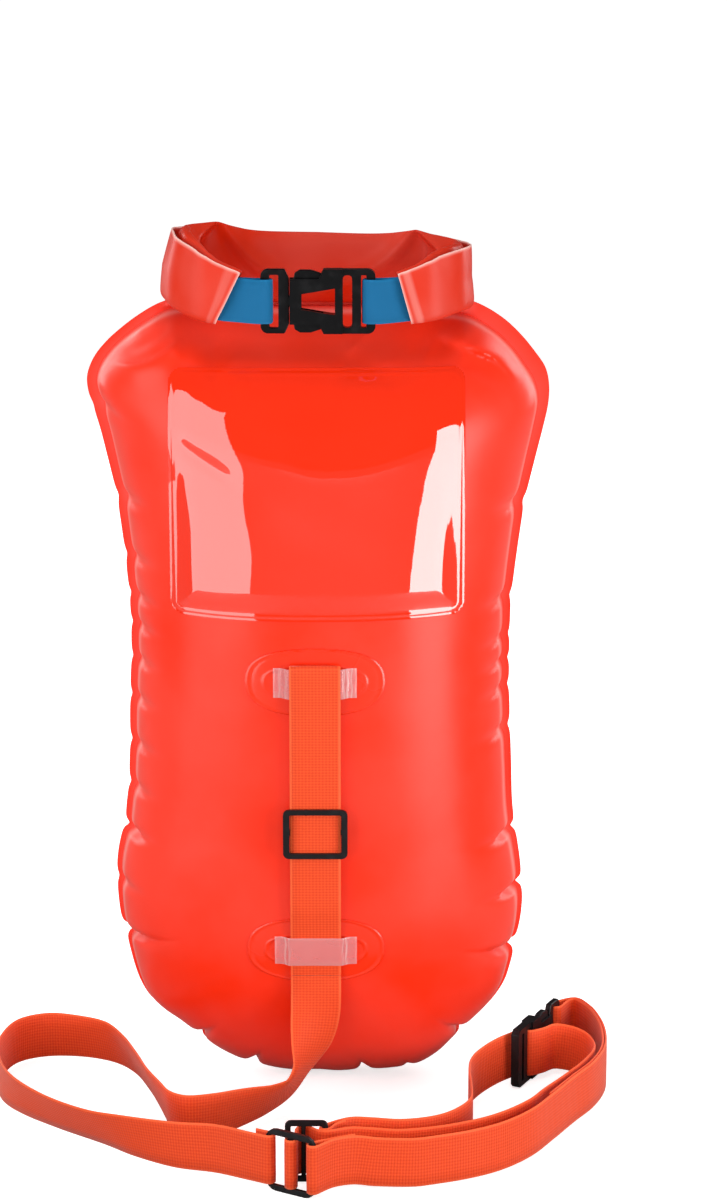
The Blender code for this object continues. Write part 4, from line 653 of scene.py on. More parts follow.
# Folds on the front: from x, z to x, z, bow to the left of that way, half width to its left and right, height
FOLDS = (
    (-0.0900, 0.5455, -0.1480, 0.5250, 0.0070, 0.0110, 0.0016, 0.0046),
    (-0.0980, 0.5540, -0.1440, 0.5300, 0.0045, 0.0030, 0.0060, -0.0030),
    (-0.1050, 0.5580, -0.1460, 0.5360, 0.0015, 0.0020, 0.0040, 0.0022),
    (-0.1120, 0.5600, -0.1280, 0.5420, 0.0010, 0.0018, 0.0018, 0.0014),
    (-0.0700, 0.5450, -0.0560, 0.5000, -0.0040, 0.0100, 0.0080, -0.0024),
    (-0.0640, 0.5300, -0.0480, 0.5120, 0.0000, 0.0080, 0.0090, 0.0020),
    (0.0760, 0.5440, 0.1350, 0.5215, 0.0000, 0.0040, 0.0100, -0.0050),
    (0.1000, 0.5400, 0.1390, 0.5120, 0.0035, 0.0050, 0.0018, 0.0032),
    (0.0960, 0.5300, 0.1320, 0.5060, 0.0035, 0.0040, 0.0060, -0.0022),
    (0.0400, 0.5530, 0.0180, 0.5350, 0.0008, 0.0030, 0.0013, 0.0022),
    (0.0120, 0.5300, 0.0660, 0.5080, 0.0060, 0.0070, 0.0100, -0.0022),
    (0.0200, 0.5050, -0.0600, 0.5060, 0.0060, 0.0080, 0.0120, -0.0014),
)


def neck_folds(flat):
    """Soft folds of the shoulders that run from under the rolled ends down over the front."""
    x, z = flat[:, :, 0], flat[:, :, 1]
    move = np.zeros_like(x)
    for ax, az, bx, bz, bow, width, steep, height in FOLDS:
        run = np.array((bx - ax, bz - az))
        length = np.linalg.norm(run)
        run = run / length
        along = ((x - ax) * run[0] + (z - az) * run[1]) / length
        beside = (x - ax) * -run[1] + (z - az) * run[0] - bow * 4.0 * along * (1.0 - along)
        wide = np.where(beside > 0.0, width, steep)
        fade = ease(along / 0.18) * ease((1.0 - along) / 0.35)
        move += height * np.exp(-(beside / wide) ** 2) * fade
    return move


def bag_sheet(name, node_name, depth, way, lobed):
    """One sheet of the bag out to its weld; way is -1 for the front and 1 for the back."""
    seam, inner, flat, bulge, to_rim = sheet_grid(depth, lobed)
    inside = np.clip(bulge / BULGE_START, 0.0, 1.0)
    bulge = np.maximum(bulge - crease_depth(to_rim) * inside, 0.0)
    if way < 0:
        bulge = bulge + neck_folds(flat) * inside
    x, z = flat[:, :, 0], np.maximum(flat[:, :, 1], RIM_LOWEST)
    y = neck_setback(x, z) * RING_SHARES[None, :] ** 2 + way * (SHEET_GAP + bulge)
    rim_y = neck_setback(seam[:, 0], seam[:, 1]) + way * SHEET_GAP
    rim = np.stack([seam[:, 0], rim_y, seam[:, 1]], axis=1)
    points = np.concatenate([np.stack([x, y, z], axis=2), rim[:, None, :]], axis=1)
    count, rings = points.shape[:2]
    # Painted highlight: a pink line along the bulge's ridge by the weld, and whitish patches at the creases of the
    # puckers.
    painted_highlight = 0.55 * np.exp(-((to_rim - 0.0016) / 0.0011) ** 2) + 0.04 * np.exp(-to_rim / 0.014)
    for gap, width, length, dip in CREASES:
        beside = np.exp(-(gap[:, None] / (width * 0.8)) ** 2)
        painted_highlight += 70.0 * dip * beside * np.exp(-((to_rim - 0.0022) / (length * 0.22)) ** 2)
    painted_highlight = np.concatenate([np.clip(painted_highlight, 0.0, 1.0), np.zeros((count, 1))], axis=1)
    faces = grid_faces(count, rings, round_rows=True)
    if way < 0:
        faces = [face[:1] + face[:0:-1] for face in faces]
    piece = mesh_piece(name, points.reshape(-1, 3), faces, bag_film, "bag", angle=60.0)
    add_attribute(piece, "painted_rim_highlight", painted_highlight.reshape(-1))
    bm = bmesh.new()
    bm.from_mesh(piece.data)
    bmesh.ops.remove_doubles(bm, verts=bm.verts, dist=0.00002)
    bmesh.ops.dissolve_degenerate(bm, edges=bm.edges, dist=0.00001)
    bm.to_mesh(piece.data)
    bm.free()
    piece.data.shade_smooth()
    stand_in(piece, node_name)
    return piece


def make_bag():
    """Front, back and the flat weld rim; the front is returned, to lay the films on it."""
    front = bag_sheet("bag_front", "front_sheet", FRONT_DEPTH, -1.0, False)
    bag_sheet("bag_back", "back_sheet", BACK_DEPTH, 1.0, True)
    seam, inner = sheet_grid(0.0, False)[:2]
    rows = []
    for edge, side in ((seam, -1.0), (inner, -1.0), (inner, 1.0), (seam, 1.0)):
        y = neck_setback(edge[:, 0], edge[:, 1]) + side * RIM_HALF_THICK
        rows.append(np.stack([edge[:, 0], y, edge[:, 1]], axis=1))
    faces = grid_faces(SEAM_COUNT, len(rows), round_rows=True, round_columns=True)
    rim = mesh_piece("bag_rim", np.stack(rows, axis=1).reshape(-1, 3), faces, rim_film, "bag")
    stand_in(rim, "middle_sheet")
    return front


# ---------------------------------------------------------------- window, anchors and leash on the bag
def on_front(x, z):
    """Place on the bag's front at x, z."""
    place = front_tree.ray_cast(Vector((x, -0.30, z)), Vector((0.0, 1.0, 0.0)))[0]
    return Vector((x, 0.0, z)) if place is None else place


PATCH_THICK = 0.0005


def film_patch(name, node_name, xs, zs, inside, lift_at, material):
    """A thin film over the bag's front on a grid of x and z, kept where inside says, raised by lift_at."""
    places = np.array([[tuple(on_front(x, z)) for x in xs] for z in zs])
    for turn in range(6):
        inner = places[1:-1, 1:-1, 1]
        around = (places[:-2, 1:-1, 1] + places[2:, 1:-1, 1] + places[1:-1, :-2, 1] + places[1:-1, 2:, 1]) / 4.0
        inner += (np.minimum(around, inner) - inner) * 0.7
    normals = unit(np.cross(np.gradient(places, axis=1), np.gradient(places, axis=0)))
    normals *= np.sign(-normals[:, :, 1:2])
    grid_x, grid_z = np.meshgrid(xs, zs)
    lift = lift_at(grid_x, grid_z)
    outer = places + normals * (lift + PATCH_THICK)[:, :, None]
    under = places + normals * lift[:, :, None]
    keep = inside(grid_x, grid_z).ravel()
    faces, edges = [], {}
    for corners in grid_faces(len(zs), len(xs)):
        if all(keep[corner] for corner in corners):
            faces += [corners, tuple(keep.size + corner for corner in corners[::-1])]
            for pair in zip(corners, corners[1:] + corners[:1]):
                edges[pair] = True
    for first, second in edges:
        if (second, first) not in edges:
            faces.append((second, first, keep.size + first, keep.size + second))
    points = np.concatenate([outer.reshape(-1, 3), under.reshape(-1, 3)])
    used = sorted({corner for face in faces for corner in face})
    order = {old: new for new, old in enumerate(used)}
    faces = [tuple(order[corner] for corner in face) for face in faces]
    stand_in(mesh_piece(name, points[used], faces, material, "bag", angle=60.0), node_name)


WINDOW_HALF = 0.101
WINDOW_LOW = 0.357
WINDOW_HIGH = 0.528
WINDOW_CORNER = 0.010


def make_window():
    middle = (WINDOW_LOW + WINDOW_HIGH) / 2.0
    tall = (WINDOW_HIGH - WINDOW_LOW) / 2.0

    def depth_in(x, z):
        over = np.abs(x) - (WINDOW_HALF - WINDOW_CORNER)
        above = np.abs(z - middle) - (tall - WINDOW_CORNER)
        corner = np.hypot(np.maximum(over, 0.0), np.maximum(above, 0.0))
        return WINDOW_CORNER - corner - np.minimum(np.maximum(over, above), 0.0)

    def inside(x, z):
        return depth_in(x, z) > 0.0002

    def lift(x, z):
        far = depth_in(x, z)
        beads = 0.00035 * np.exp(-((far - 0.0010) / 0.0005) ** 2) + 0.00035 * np.exp(-((far - 0.0040) / 0.0006) ** 2)
        puff = 0.0013 * ease((far - 0.0050) / 0.016)
        wave = 0.00018 * np.sin(x * 61.0 + 1.7 * np.sin(z * 43.0)) + 0.00014 * np.sin(z * 97.0 + x * 37.0)
        fold = -0.0011 * np.exp(-((z - 0.476 - 0.62 * (-0.090 - x)) / 0.0060) ** 2) * ease((-0.050 - x) / 0.02)
        return 0.0004 + beads + puff + (wave + fold) * ease((far - 0.004) / 0.010)

    xs = np.linspace(-WINDOW_HALF, WINDOW_HALF, 203)
    zs = np.linspace(WINDOW_LOW, WINDOW_HIGH, 172)
    film_patch("window", "phone_window", xs, zs, inside, lift, window_film)


# Painted highlights along the creases of the clear bands: place across the band, strength
BAND_CREASES = {
    "upper": ((-0.0283, 0.6), (-0.0245, 0.5), (-0.0200, 0.4), (0.0198, 0.7), (0.0222, 0.8), (0.0250, 0.8),
              (0.0282, 0.9)),
    "lower": ((-0.0282, 0.4), (-0.0212, 0.9), (-0.0185, 0.4), (0.0188, 0.4), (0.0212, 0.9), (0.0282, 0.4)),
}


# Half width and half height of an anchor patch, of the raised ring in it and of the grid that it is cut from
ANCHOR_HALF = (0.048, 0.024)
ANCHOR_RING = (0.0346, 0.0117)
ANCHOR_GRID = (0.0485, 0.0245)
BAND_WIDTH = 0.021
BAND_THICK = 0.0009
BAND_BEND = 0.0012


def oval_share(x, z, height, half):
    """Share of the way from an anchor's middle to its oval edge."""
    wide, tall = np.abs((x - LEASH_X) / half[0]), np.abs((z - height) / half[1])
    return (wide ** 2.5 + tall ** 2.5) ** 0.4


def make_anchors():
    for word, height, band_y, tilt in (("upper", 0.315, -0.0941, 0.0), ("lower", 0.122, -0.0929, -0.11)):

        def inside(x, z):
            return oval_share(x, z, height, ANCHOR_HALF) < 1.0

        def lift(x, z):
            outer = oval_share(x, z, height, ANCHOR_HALF)
            inner = oval_share(x, z, height, ANCHOR_RING)
            bead = 0.00050 * np.exp(-((outer - 0.960) / 0.016) ** 2) - 0.00012 * np.exp(-((outer - 0.90) / 0.02) ** 2)
            ring = 0.00050 * np.exp(-((inner - 1.0) / 0.035) ** 2) - 0.00018 * ease((1.0 - inner) / 0.1)
            return 0.00035 + bead + ring

        xs = np.linspace(LEASH_X - ANCHOR_GRID[0], LEASH_X + ANCHOR_GRID[0], 163)
        zs = np.linspace(height - ANCHOR_GRID[1], height + ANCHOR_GRID[1], 83)
        film_patch(word + "_patch", word + "_anchor_patch", xs, zs, inside, lift, patch_film)
        foot = [on_front(LEASH_X + x, height).y - 0.0022 for x in (-0.0285, -0.0235, 0.0235, 0.0285)]
        stops = ((-0.0285, foot[0]), (-0.0232, foot[1]), (-0.0200, band_y + BAND_BEND), (-0.0183, band_y),
                 (-0.0100, band_y), (0.0100, band_y), (0.0183, band_y), (0.0200, band_y + BAND_BEND),
                 (0.0232, foot[2]), (0.0285, foot[3]))
        rows = [(LEASH_X + x, y, height, 0.0, tilt, 1.0) for x, y in stops]
        band = webbing_piece(word + "_band", rows, BAND_WIDTH, BAND_THICK, band_film, "bag", 0.0005)[0]
        aside = np.array([vertex.co.x - LEASH_X for vertex in band.data.vertices])
        up = np.array([vertex.co.z - height for vertex in band.data.vertices])
        # Painted highlights: pale lines along the band's creases and along its edges.
        pale = np.zeros(len(aside))
        for line, strength in BAND_CREASES[word]:
            pale += strength * np.exp(-((aside - line - 0.0004 * np.sin(up * 400.0 + line * 900.0)) / 0.00045) ** 2)
        pale += 0.35 * np.exp(-((np.abs(up) - 0.0104) / 0.0005) ** 2)
        add_attribute(band, "painted_crease_highlight", np.clip(pale, 0.0, 1.0))
        stand_in(band, word + "_anchor_band")


# Leash on the bag, up behind the upper band and down over it to the lower one: y, z
LEASH_ON_BAG = (
    (-0.0925, 0.2144), (-0.0925, 0.2400), (-0.0925, 0.2650), (-0.0925, 0.3000), (-0.0925, 0.3255),
    (-0.0929, 0.3269), (-0.0937, 0.3275), (-0.0945, 0.3275), (-0.0953, 0.3269), (-0.0957, 0.3255),
    (-0.0957, 0.2925), (-0.0957, 0.2400), (-0.0957, 0.2095), (-0.0957, 0.1920), (-0.0957, 0.1700),
    (-0.0956, 0.1530), (-0.0940, 0.1435), (-0.0926, 0.1355), (-0.0913, 0.1220), (-0.0893, 0.1040),
)


def make_leash_on_bag():
    rows = [(LEASH_X, y, z, -1.0, 0.0, 0.0) for y, z in LEASH_ON_BAG]
    laid_webbing("leash_on_bag", rows, "bag", "leash_bag_webbing")


# ---------------------------------------------------------------- rolled top
# Middle of the roll from the bag's middle to its folded end, a row for each station: x, y, z, height
ROLL_STATIONS = (
    (0.000, 0.022, 0.5840, 0.048), (0.048, 0.022, 0.5840, 0.048), (0.078, 0.017, 0.5880, 0.048),
    (0.0955, -0.003, 0.5930, 0.046), (0.0990, -0.027, 0.5930, 0.044), (0.0925, -0.049, 0.5880, 0.042),
    (0.077, -0.0605, 0.5790, 0.038), (0.0628, -0.0625, 0.5752, 0.034), (0.045, -0.0625, 0.5738, 0.033),
)


def roll_way(stations):
    """Middle, height, way out and way up of the roll at signed stations."""
    places = np.arange(len(ROLL_STATIONS))
    table = np.array(ROLL_STATIONS)
    mirrored = np.vstack([table[:0:-1] * (-1, 1, 1, 1), table])
    at = np.concatenate([-places[:0:-1], places]).astype(float)
    fine = np.linspace(at[0], at[-1], 1201)
    kernel = np.hanning(101)
    kernel /= kernel.sum()
    columns = []
    for values in read_rows(fine, at, mirrored).T:
        padded = np.concatenate([2 * values[0] - values[50:0:-1], values, 2 * values[-1] - values[-2:-52:-1]])
        columns.append(np.convolve(padded, kernel, "valid"))
    smooth = np.stack(columns, axis=1)
    row = read_rows(stations, fine, smooth)
    ahead, behind = (read_rows(stations + step, fine, smooth)[:, :3] for step in (0.02, -0.02))
    way = unit(ahead - behind)
    outward = unit(np.stack([-way[:, 1], way[:, 0], np.zeros(len(way))], axis=1))
    upward = np.cross(outward, way)
    upward *= np.sign(upward[:, 2:3])
    return row[:, :3], row[:, 3], outward, upward


# Half of the roll's turn, from the cut edge down the outside, under and up the inside to the inner fold:
# outward in metres, height as a share of half the roll's height
ROLL_TURN = (
    (0.0066, 0.980), (0.0068, 0.800), (0.0070, 0.400), (0.0070, 0.000), (0.0068, -0.450), (0.0060, -0.820),
    (0.0036, -0.970), (0.0000, -1.000), (-0.0038, -0.965), (-0.0062, -0.820), (-0.0069, -0.450),
    (-0.0069, 0.000), (-0.0068, 0.450), (-0.0064, 0.800), (-0.0046, 0.985), (-0.0020, 1.020), (0.0002, 0.960),
    (0.0014, 0.780), (0.0018, 0.450), (0.0018, 0.000), (0.0014, -0.500),
)


# Station, drop of the whole roll there and of its upper half alone
ROLL_SHIFTS = (
    (-7.0, 0.0, 0.0), (-6.5, 0.0, 0.0055), (-6.0, 0.0, 0.0085), (-5.5, 0.0, 0.0080), (-5.0, 0.0, 0.0068),
    (-4.5, 0.0, 0.0060), (-4.0, 0.0, 0.0045), (-3.5, 0.0, 0.0010), (-3.0, 0.0, -0.0012), (-2.5, 0.0, 0.0),
    (-2.0, 0.0, 0.0), (-1.0, 0.0, 0.0006), (0.0, 0.0, 0.0), (1.0, -0.0004, -0.0010), (2.0, -0.0022, -0.0034),
    (2.5, -0.0040, -0.0042), (3.0, -0.0060, -0.0050), (3.5, -0.0072, -0.0030), (4.0, -0.0075, 0.0000),
    (4.5, -0.0062, 0.0020), (5.0, -0.0040, 0.0042), (5.5, -0.0018, 0.0050), (6.0, 0.0, 0.0042), (6.5, 0.0, 0.0025),
    (7.0, 0.0, 0.0),
)


def calm_row(values):
    """A row of numbers smoothed over its neighbours, its ends kept."""
    padded = np.concatenate([values[:1], values, values[-1:]])
    return 0.25 * padded[:-2] + 0.5 * padded[1:-1] + 0.25 * padded[2:]


def roll_shifts(stations):
    """Drop of the whole roll, and of its upper half alone, at signed stations."""
    at_station, whole, upper = np.array(ROLL_SHIFTS).T
    return [np.interp(stations, at_station, calm_row(drop)) for drop in (whole, upper)]


ROLL_END = 7.0
STATION_LENGTH = 0.0145
TURN_STRETCH = 3.0
TURN_HALF_HEIGHT = 0.022
OUTSIDE_SHARE = 0.36
ROLL_THICK = 0.0009


def make_roll():
    """The roll's film as one flattened turn, with its creases, its folded flaps and a painted highlight along its cut
    edge.
    """
    stations = np.linspace(-ROLL_END, ROLL_END, 261)
    middle, height, outward, upward = roll_way(stations)
    turn, at = smooth_way([(o * TURN_STRETCH, 0.0, s * TURN_HALF_HEIGHT) for o, s in ROLL_TURN], 0.0012)
    out_share = turn[:, 0] / TURN_STRETCH
    up_share = turn[:, 2] / TURN_HALF_HEIGHT
    count, columns = len(stations), len(at)
    places = np.abs(stations)[:, None]
    signs = np.sign(stations)[:, None]
    inner_side = ease((0.0010 - out_share) / 0.0055)[None, :]
    outside = at[None, :] < at[-1] * OUTSIDE_SHARE
    upper = np.clip((up_share + 0.2) / 1.2, 0.0, 1.0)[None, :]
    crest = 0.0048 * np.exp(-((places - 2.0) / 0.75) ** 2)
    u = np.repeat(up_share[None, :], count, axis=0) * height[:, None] / 2.0
    u = u + crest * upper ** 2 * (0.25 + 0.75 * inner_side)
    u = u - 0.0024 * ease((places - 4.6) / 2.0) * upper ** 2 * inner_side
    o = np.repeat(out_share[None, :], count, axis=0)
    for start, slope, depth, wide in ((2.3, 2.3, 0.0062, 0.40), (3.1, 2.2, -0.0030, 0.34), (1.7, -0.9, 0.0045, 0.30)):
        line = start + slope * (1.0 - up_share[None, :])
        o = o - depth * np.exp(-((places - line) / wide) ** 2) * inner_side * ease((up_share[None, :] + 1.0) / 0.6)
    o = o + 0.0005 * np.sin(stations[:, None] * 2.1 + 0.9 * up_share[None, :]) * (0.2 + inner_side)
    o = o + 0.0007 * np.sin(stations[:, None] * 3.7 - 1.9 * up_share[None, :]) * inner_side
    clear = -0.0043 + 0.0060 * ease((np.abs(u) - 0.0125) / 0.004)
    hidden = (at > at[-1] * OUTSIDE_SHARE) & (at < at[-1] * 0.66) & (np.abs(up_share) < 0.8)
    o = np.where(hidden[None, :], np.minimum(o, clear), o)
    end_gap = (ROLL_END - places) * STATION_LENGTH
    o = o + np.exp(-((end_gap - 0.0042) / 0.0012) ** 4) * 0.00045 * outside
    points = middle[:, None, :] + outward[:, None, :] * o[:, :, None] + upward[:, None, :] * u[:, :, None]
    whole_drop, upper_drop = roll_shifts(stations)
    points[:, :, 2] += whole_drop[:, None]
    points[:, :, 2] += upper_drop[:, None] * upper
    left_spread = np.where(up_share > 0.0, 0.0066, 0.0028) * up_share
    right_spread = -0.0030 * (up_share < 0.0) * up_share
    points[:, :, 0] += np.exp(-((places - 3.9) / 1.1) ** 2) * np.where(signs < 0.0, left_spread, right_spread)
    lean = np.where(signs < 0.0, 0.0035 + 0.0060 * up_share[None, :], -0.0036 - 0.0021 * up_share[None, :])
    points[:, :, 0] += np.exp(-((ROLL_END - places) / 0.45) ** 2) * lean
    piece = mesh_piece("roll", points.reshape(-1, 3), grid_faces(count, columns), roll_film, "bag", angle=60.0)
    # Painted highlight along the cut edge and the folded ends, stronger on the right flap.
    painted_highlight = 0.9 * np.exp(-(at[None, :] / 0.0011) ** 2) + np.zeros((count, 1))
    painted_highlight = painted_highlight + 0.9 * np.exp(-(end_gap / 0.0007) ** 2) * outside
    painted_highlight = painted_highlight + np.where(signs < 0.0, 0.10, 0.20) * np.exp(-((end_gap - 0.0040) / 0.0016) ** 4) * outside
    add_attribute(piece, "painted_rim_highlight", np.clip(painted_highlight, 0.0, 1.0).reshape(-1))
    select_only(piece)
    thick = piece.modifiers.new("film", "SOLIDIFY")
    thick.thickness = ROLL_THICK
    thick.offset = 0.0
    bpy.ops.object.modifier_apply(modifier=thick.name)
    stand_in(piece, "roll_top")


# Closure straps, from the roll's end round the buckle's bar and back: x, y, z
CLOSURE_LEFT = (
    (-0.0711, -0.0616, 0.5770), (-0.0627, -0.0616, 0.5752), (-0.0518, -0.0603, 0.5743), (-0.0405, -0.0588, 0.5735),
    (-0.0345, -0.0579, 0.5735), (-0.0316, -0.0588, 0.5735), (-0.0299, -0.0615, 0.5735), (-0.0299, -0.0635, 0.5735),
    (-0.0316, -0.0662, 0.5735), (-0.0345, -0.0672, 0.5735), (-0.0405, -0.0664, 0.5735), (-0.0519, -0.0648, 0.5743),
    (-0.0629, -0.0634, 0.5752), (-0.0713, -0.0629, 0.5770),
)
CLOSURE_RIGHT = (
    (0.0711, -0.0614, 0.5770), (0.0627, -0.0615, 0.5752), (0.0540, -0.0603, 0.5743), (0.0437, -0.0583, 0.5735),
    (0.0366, -0.0573, 0.5735), (0.0333, -0.0584, 0.5735), (0.0315, -0.0613, 0.5735), (0.0315, -0.0637, 0.5735),
    (0.0333, -0.0666, 0.5735), (0.0366, -0.0677, 0.5735), (0.0437, -0.0667, 0.5735), (0.0540, -0.0650, 0.5743),
    (0.0629, -0.0634, 0.5752), (0.0713, -0.0630, 0.5770),
)


def make_stiffeners():
    """The two stiffening strips, one in each turn of the roll."""
    stations = np.linspace(-6.2, 6.2, 61)
    middle, height, outward, upward = roll_way(stations)
    middle[:, 2] += roll_shifts(stations)[0] - 0.0030
    for word, aside in (("inner", -0.0031), ("outer", 0.0031)):
        rows = [tuple(place) + tuple(up) for place, up in zip(middle + outward * aside, upward)]
        strip = webbing_piece("stiffener_" + word, rows, 0.025, 0.0012, stiffener_plastic, "bag", 0.003)[0]
        stand_in(strip, "stiffener_strip_" + word)


def make_closure_straps():
    for word, body, tilt, rows in (("left", None, 0.26, CLOSURE_LEFT), ("right", "bag", -0.26, CLOSURE_RIGHT)):
        turned = []
        for x, y, z in rows:
            share = float(ease((abs(x) - 0.050) / 0.020))
            turned.append((x, y, z, tilt * share, 0.0, 1.0))
        strap = webbing_piece("closure_" + word, turned, 0.030, 0.0014, closure_webbing, body, 0.0012)[0]
        stand_in(strap, "closure_strap_" + word)
        if word == "left":
            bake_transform(strap)


# ---------------------------------------------------------------- moulded plastics, rounded from their CAD solids
SHORTEST_ROUNDED = 0.0022
SHARP_ANGLE = math.radians(28.0)
MERGE_GAP = 0.00002


def round_through(mesh, axis, low, high, corner):
    """Round the sharp edges that run along axis and lie between low and high across x."""
    bpy.ops.mesh.select_all(action="DESELECT")
    chosen = 0
    for edge in bmesh.from_edit_mesh(mesh).edges:
        run = edge.verts[1].co - edge.verts[0].co
        middle = (edge.verts[0].co.x + edge.verts[1].co.x) / 2.0
        if run.length < SHORTEST_ROUNDED or abs(run.normalized().dot(axis)) < 0.98 or not low < middle < high:
            continue
        if len(edge.link_faces) == 2 and edge.calc_face_angle(0.0) > SHARP_ANGLE:
            edge.select = True
            chosen += 1
    bmesh.update_edit_mesh(mesh)
    if chosen:
        bpy.ops.mesh.bevel(offset=corner, segments=5, affect="EDGES", clamp_overlap=True)


def rounded_copy(node_name, width, material, body, through, corners):
    """A copy of a CAD solid: edges through its thickness rounded by corners, then all its edges by width."""
    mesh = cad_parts[node_name].data.copy()
    mesh.materials.clear()
    mesh.materials.append(material)
    piece = bpy.data.objects.new(node_name + "_moulded", mesh)
    bpy.context.scene.collection.objects.link(piece)
    select_only(piece)
    bpy.ops.object.mode_set(mode="EDIT")
    bpy.ops.mesh.select_mode(type="EDGE")
    bpy.ops.mesh.select_all(action="SELECT")
    bpy.ops.mesh.remove_doubles(threshold=MERGE_GAP)
    bpy.ops.mesh.dissolve_limited(angle_limit=math.radians(1.0))
    bpy.ops.mesh.vert_connect_concave()
    for low, high, corner in corners:
        round_through(mesh, Vector(through).normalized(), low, high, corner)
    bpy.ops.mesh.select_all(action="SELECT")
    bpy.ops.mesh.remove_doubles(threshold=MERGE_GAP)
    bpy.ops.object.mode_set(mode="OBJECT")
    rounding = piece.modifiers.new("rounding", "BEVEL")
    rounding.width = width
    rounding.segments = 3
    rounding.limit_method = "ANGLE"
    rounding.angle_limit = SHARP_ANGLE
    bpy.ops.object.modifier_apply(modifier=rounding.name)
    bpy.ops.object.shade_smooth_by_angle(angle=math.radians(32.0))
    even = piece.modifiers.new("even", "WEIGHTED_NORMAL")
    even.keep_sharp = True
    bpy.ops.object.modifier_apply(modifier=even.name)
    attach(piece, body)
    stand_in(piece, node_name)


def round_plastics():
    """Each moulded part: its body, width of rounding, and rows of low x, high x and corner radius."""
    facing = (0.0, 1.0, 0.0)
    ring_way = (-RING_WAY[1], RING_WAY[0], 0.0)
    buckle_way = (BELT_BUCKLE_WAY[1], -BELT_BUCKLE_WAY[0], 0.0)
    small = ((-1.0, 1.0, 0.0012),)
    female = ((0.0165, 0.0255, 0.0026), (0.0290, 0.0345, 0.0006), (0.0345, 0.0420, 0.0018), (-0.030, 0.0165, 0.0010))
    male = ((-0.0330, -0.0240, 0.0011), (-0.0400, -0.0330, 0.0018), (-0.0240, -0.0170, 0.0010))
    for node_name, body, width, corners, through, material in (
            ("belt_ring", "bag", 0.0007, small, ring_way, satin_plastic),
            ("belt_adjuster", "belt_adjust", 0.0007, small, facing, satin_plastic),
            ("leash_slider", "leash_slide", 0.0008, small, facing, satin_plastic),
            ("belt_buckle_female", "bag", 0.0006, small, buckle_way, satin_plastic),
            ("belt_buckle_male", "belt_male", 0.0006, small, buckle_way, satin_plastic),
            ("belt_buckle_arm_upper", "belt_arm_upper", 0.0007, (), buckle_way, satin_plastic),
            ("belt_buckle_arm_lower", "belt_arm_lower", 0.0007, (), buckle_way, satin_plastic),
            ("closure_buckle_female", "bag", 0.0005, female, facing, black_plastic),
            ("closure_buckle_male", "closure_male", 0.0005, male, facing, black_plastic),
            ("closure_buckle_arm_upper", "closure_arm_upper", 0.0006, (), facing, black_plastic),
            ("closure_buckle_arm_lower", "closure_arm_lower", 0.0006, (), facing, black_plastic)):
        rounded_copy(node_name, width, material, body, through, corners)


# ---------------------------------------------------------------- light and floor
def area_light(name, place, aim, size, power, glossy=True):
    data = bpy.data.lights.new(name, "AREA")
    data.shape = "RECTANGLE"
    data.size, data.size_y = size
    data.energy = power
    lamp = bpy.data.objects.new(name, data)
    bpy.context.scene.collection.objects.link(lamp)
    lamp.location = place
    lamp.rotation_euler = (Vector(aim) - Vector(place)).to_track_quat("-Z", "Y").to_euler()
    lamp.visible_camera = False
    lamp.visible_glossy = glossy


def grey(tone):
    return tone, tone, tone, 1.0


def seen_share(tree, others, camera):
    """One value for camera rays and another for all other rays."""
    path = node(tree, "ShaderNodeLightPath")
    return math_node(tree, "MULTIPLY_ADD", path.outputs["Is Camera Ray"], camera - others, others)


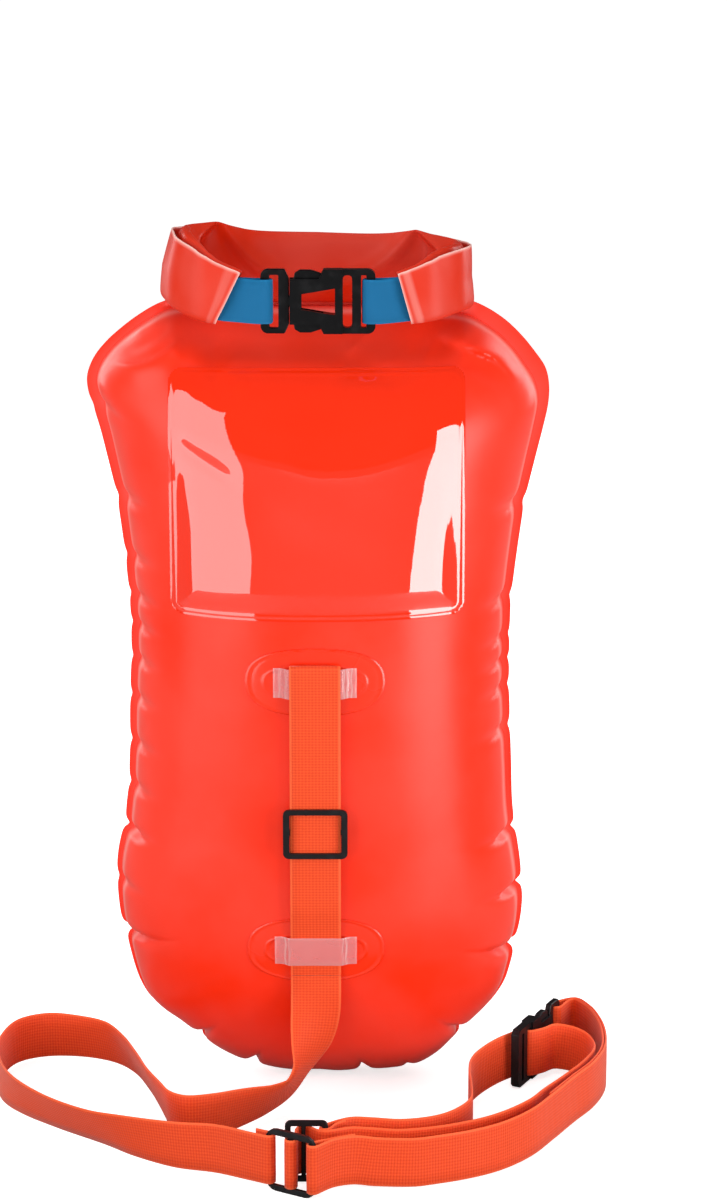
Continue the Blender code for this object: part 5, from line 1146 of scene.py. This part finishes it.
def make_stage():
    bpy.ops.object.select_all(action="DESELECT")
    bpy.ops.mesh.primitive_plane_add(size=9.0)
    floor = bpy.context.active_object
    floor.name = "floor"
    material, tree, shader = new_material("floor_paper")
    grain = noise_value(tree, node(tree, "ShaderNodeTexCoord").outputs["Object"], 6.0)
    paper = mix_colour(tree, grain, grey(0.86), grey(0.90))
    set_inputs(tree, shader, Base_Color=mix_colour(tree, seen_share(tree, 0.30, 1.0), grey(0.10), paper),
               Emission_Color=mix_colour(tree, seen_share(tree, 0.0, 1.0), grey(0.0), grey(1.0)),
               Emission_Strength=0.68, Roughness=0.9)
    floor.data.materials.append(material)
    world = bpy.data.worlds.new("studio")
    bpy.context.scene.world = world
    world.use_nodes = True
    tree = world.node_tree
    path = node(tree, "ShaderNodeLightPath")
    gloss = math_node(tree, "MULTIPLY_ADD", path.outputs["Is Glossy Ray"], -0.36, 0.42)
    strength = math_node(tree, "MULTIPLY_ADD", path.outputs["Is Camera Ray"], 0.63, gloss)
    set_inputs(tree, tree.nodes["Background"], Color=grey(1.0), Strength=strength)
    area_light("left_softbox", (-0.82, -0.78, 0.52), (-0.07, -0.08, 0.42), (0.98, 1.02), 8.4)
    area_light("right_softbox", (0.87, -0.70, 0.29), (0.08, -0.08, 0.36), (0.56, 0.58), 7.2)
    area_light("top_softbox", (0.0, -0.5, 2.3), (0.0, 0.0, 0.3), (1.2, 0.7), 10.0, False)
    area_light("front_fill", (0.3, -2.6, 0.6), (0.0, 0.0, 0.3), (1.6, 1.4), 12.0, False)
    area_light("rear_fill", (0.0, 2.2, 1.1), (0.0, 0.0, 0.3), (1.6, 1.4), 14.0, False)
    for name, side in (("rear_left", -1.0), ("rear_right", 1.0)):
        area_light(name, (side * 1.3, 1.1, 0.9), (0.0, 0.0, 0.35), (0.5, 1.2), 8.0)
    bpy.context.scene.view_settings.view_transform = "Standard"


# ---------------------------------------------------------------- CAD nodes that stay, with their finishes
def dress_nodes():
    finishes = {"flange": valve_clear, "barrel": valve_clear, "mouthpiece": satin_plastic, "flap": valve_rubber}
    for side in ("left", "right"):
        for part, material in finishes.items():
            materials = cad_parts[side + "_valve_" + part].data.materials
            materials.clear()
            materials.append(material)


make_camera()
make_cords()
front_tree = BVHTree.FromObject(make_bag(), bpy.context.evaluated_depsgraph_get())
make_window()
make_anchors()
make_leash_on_bag()
make_roll()
make_stiffeners()
make_closure_straps()
round_plastics()
dress_nodes()
make_stage()
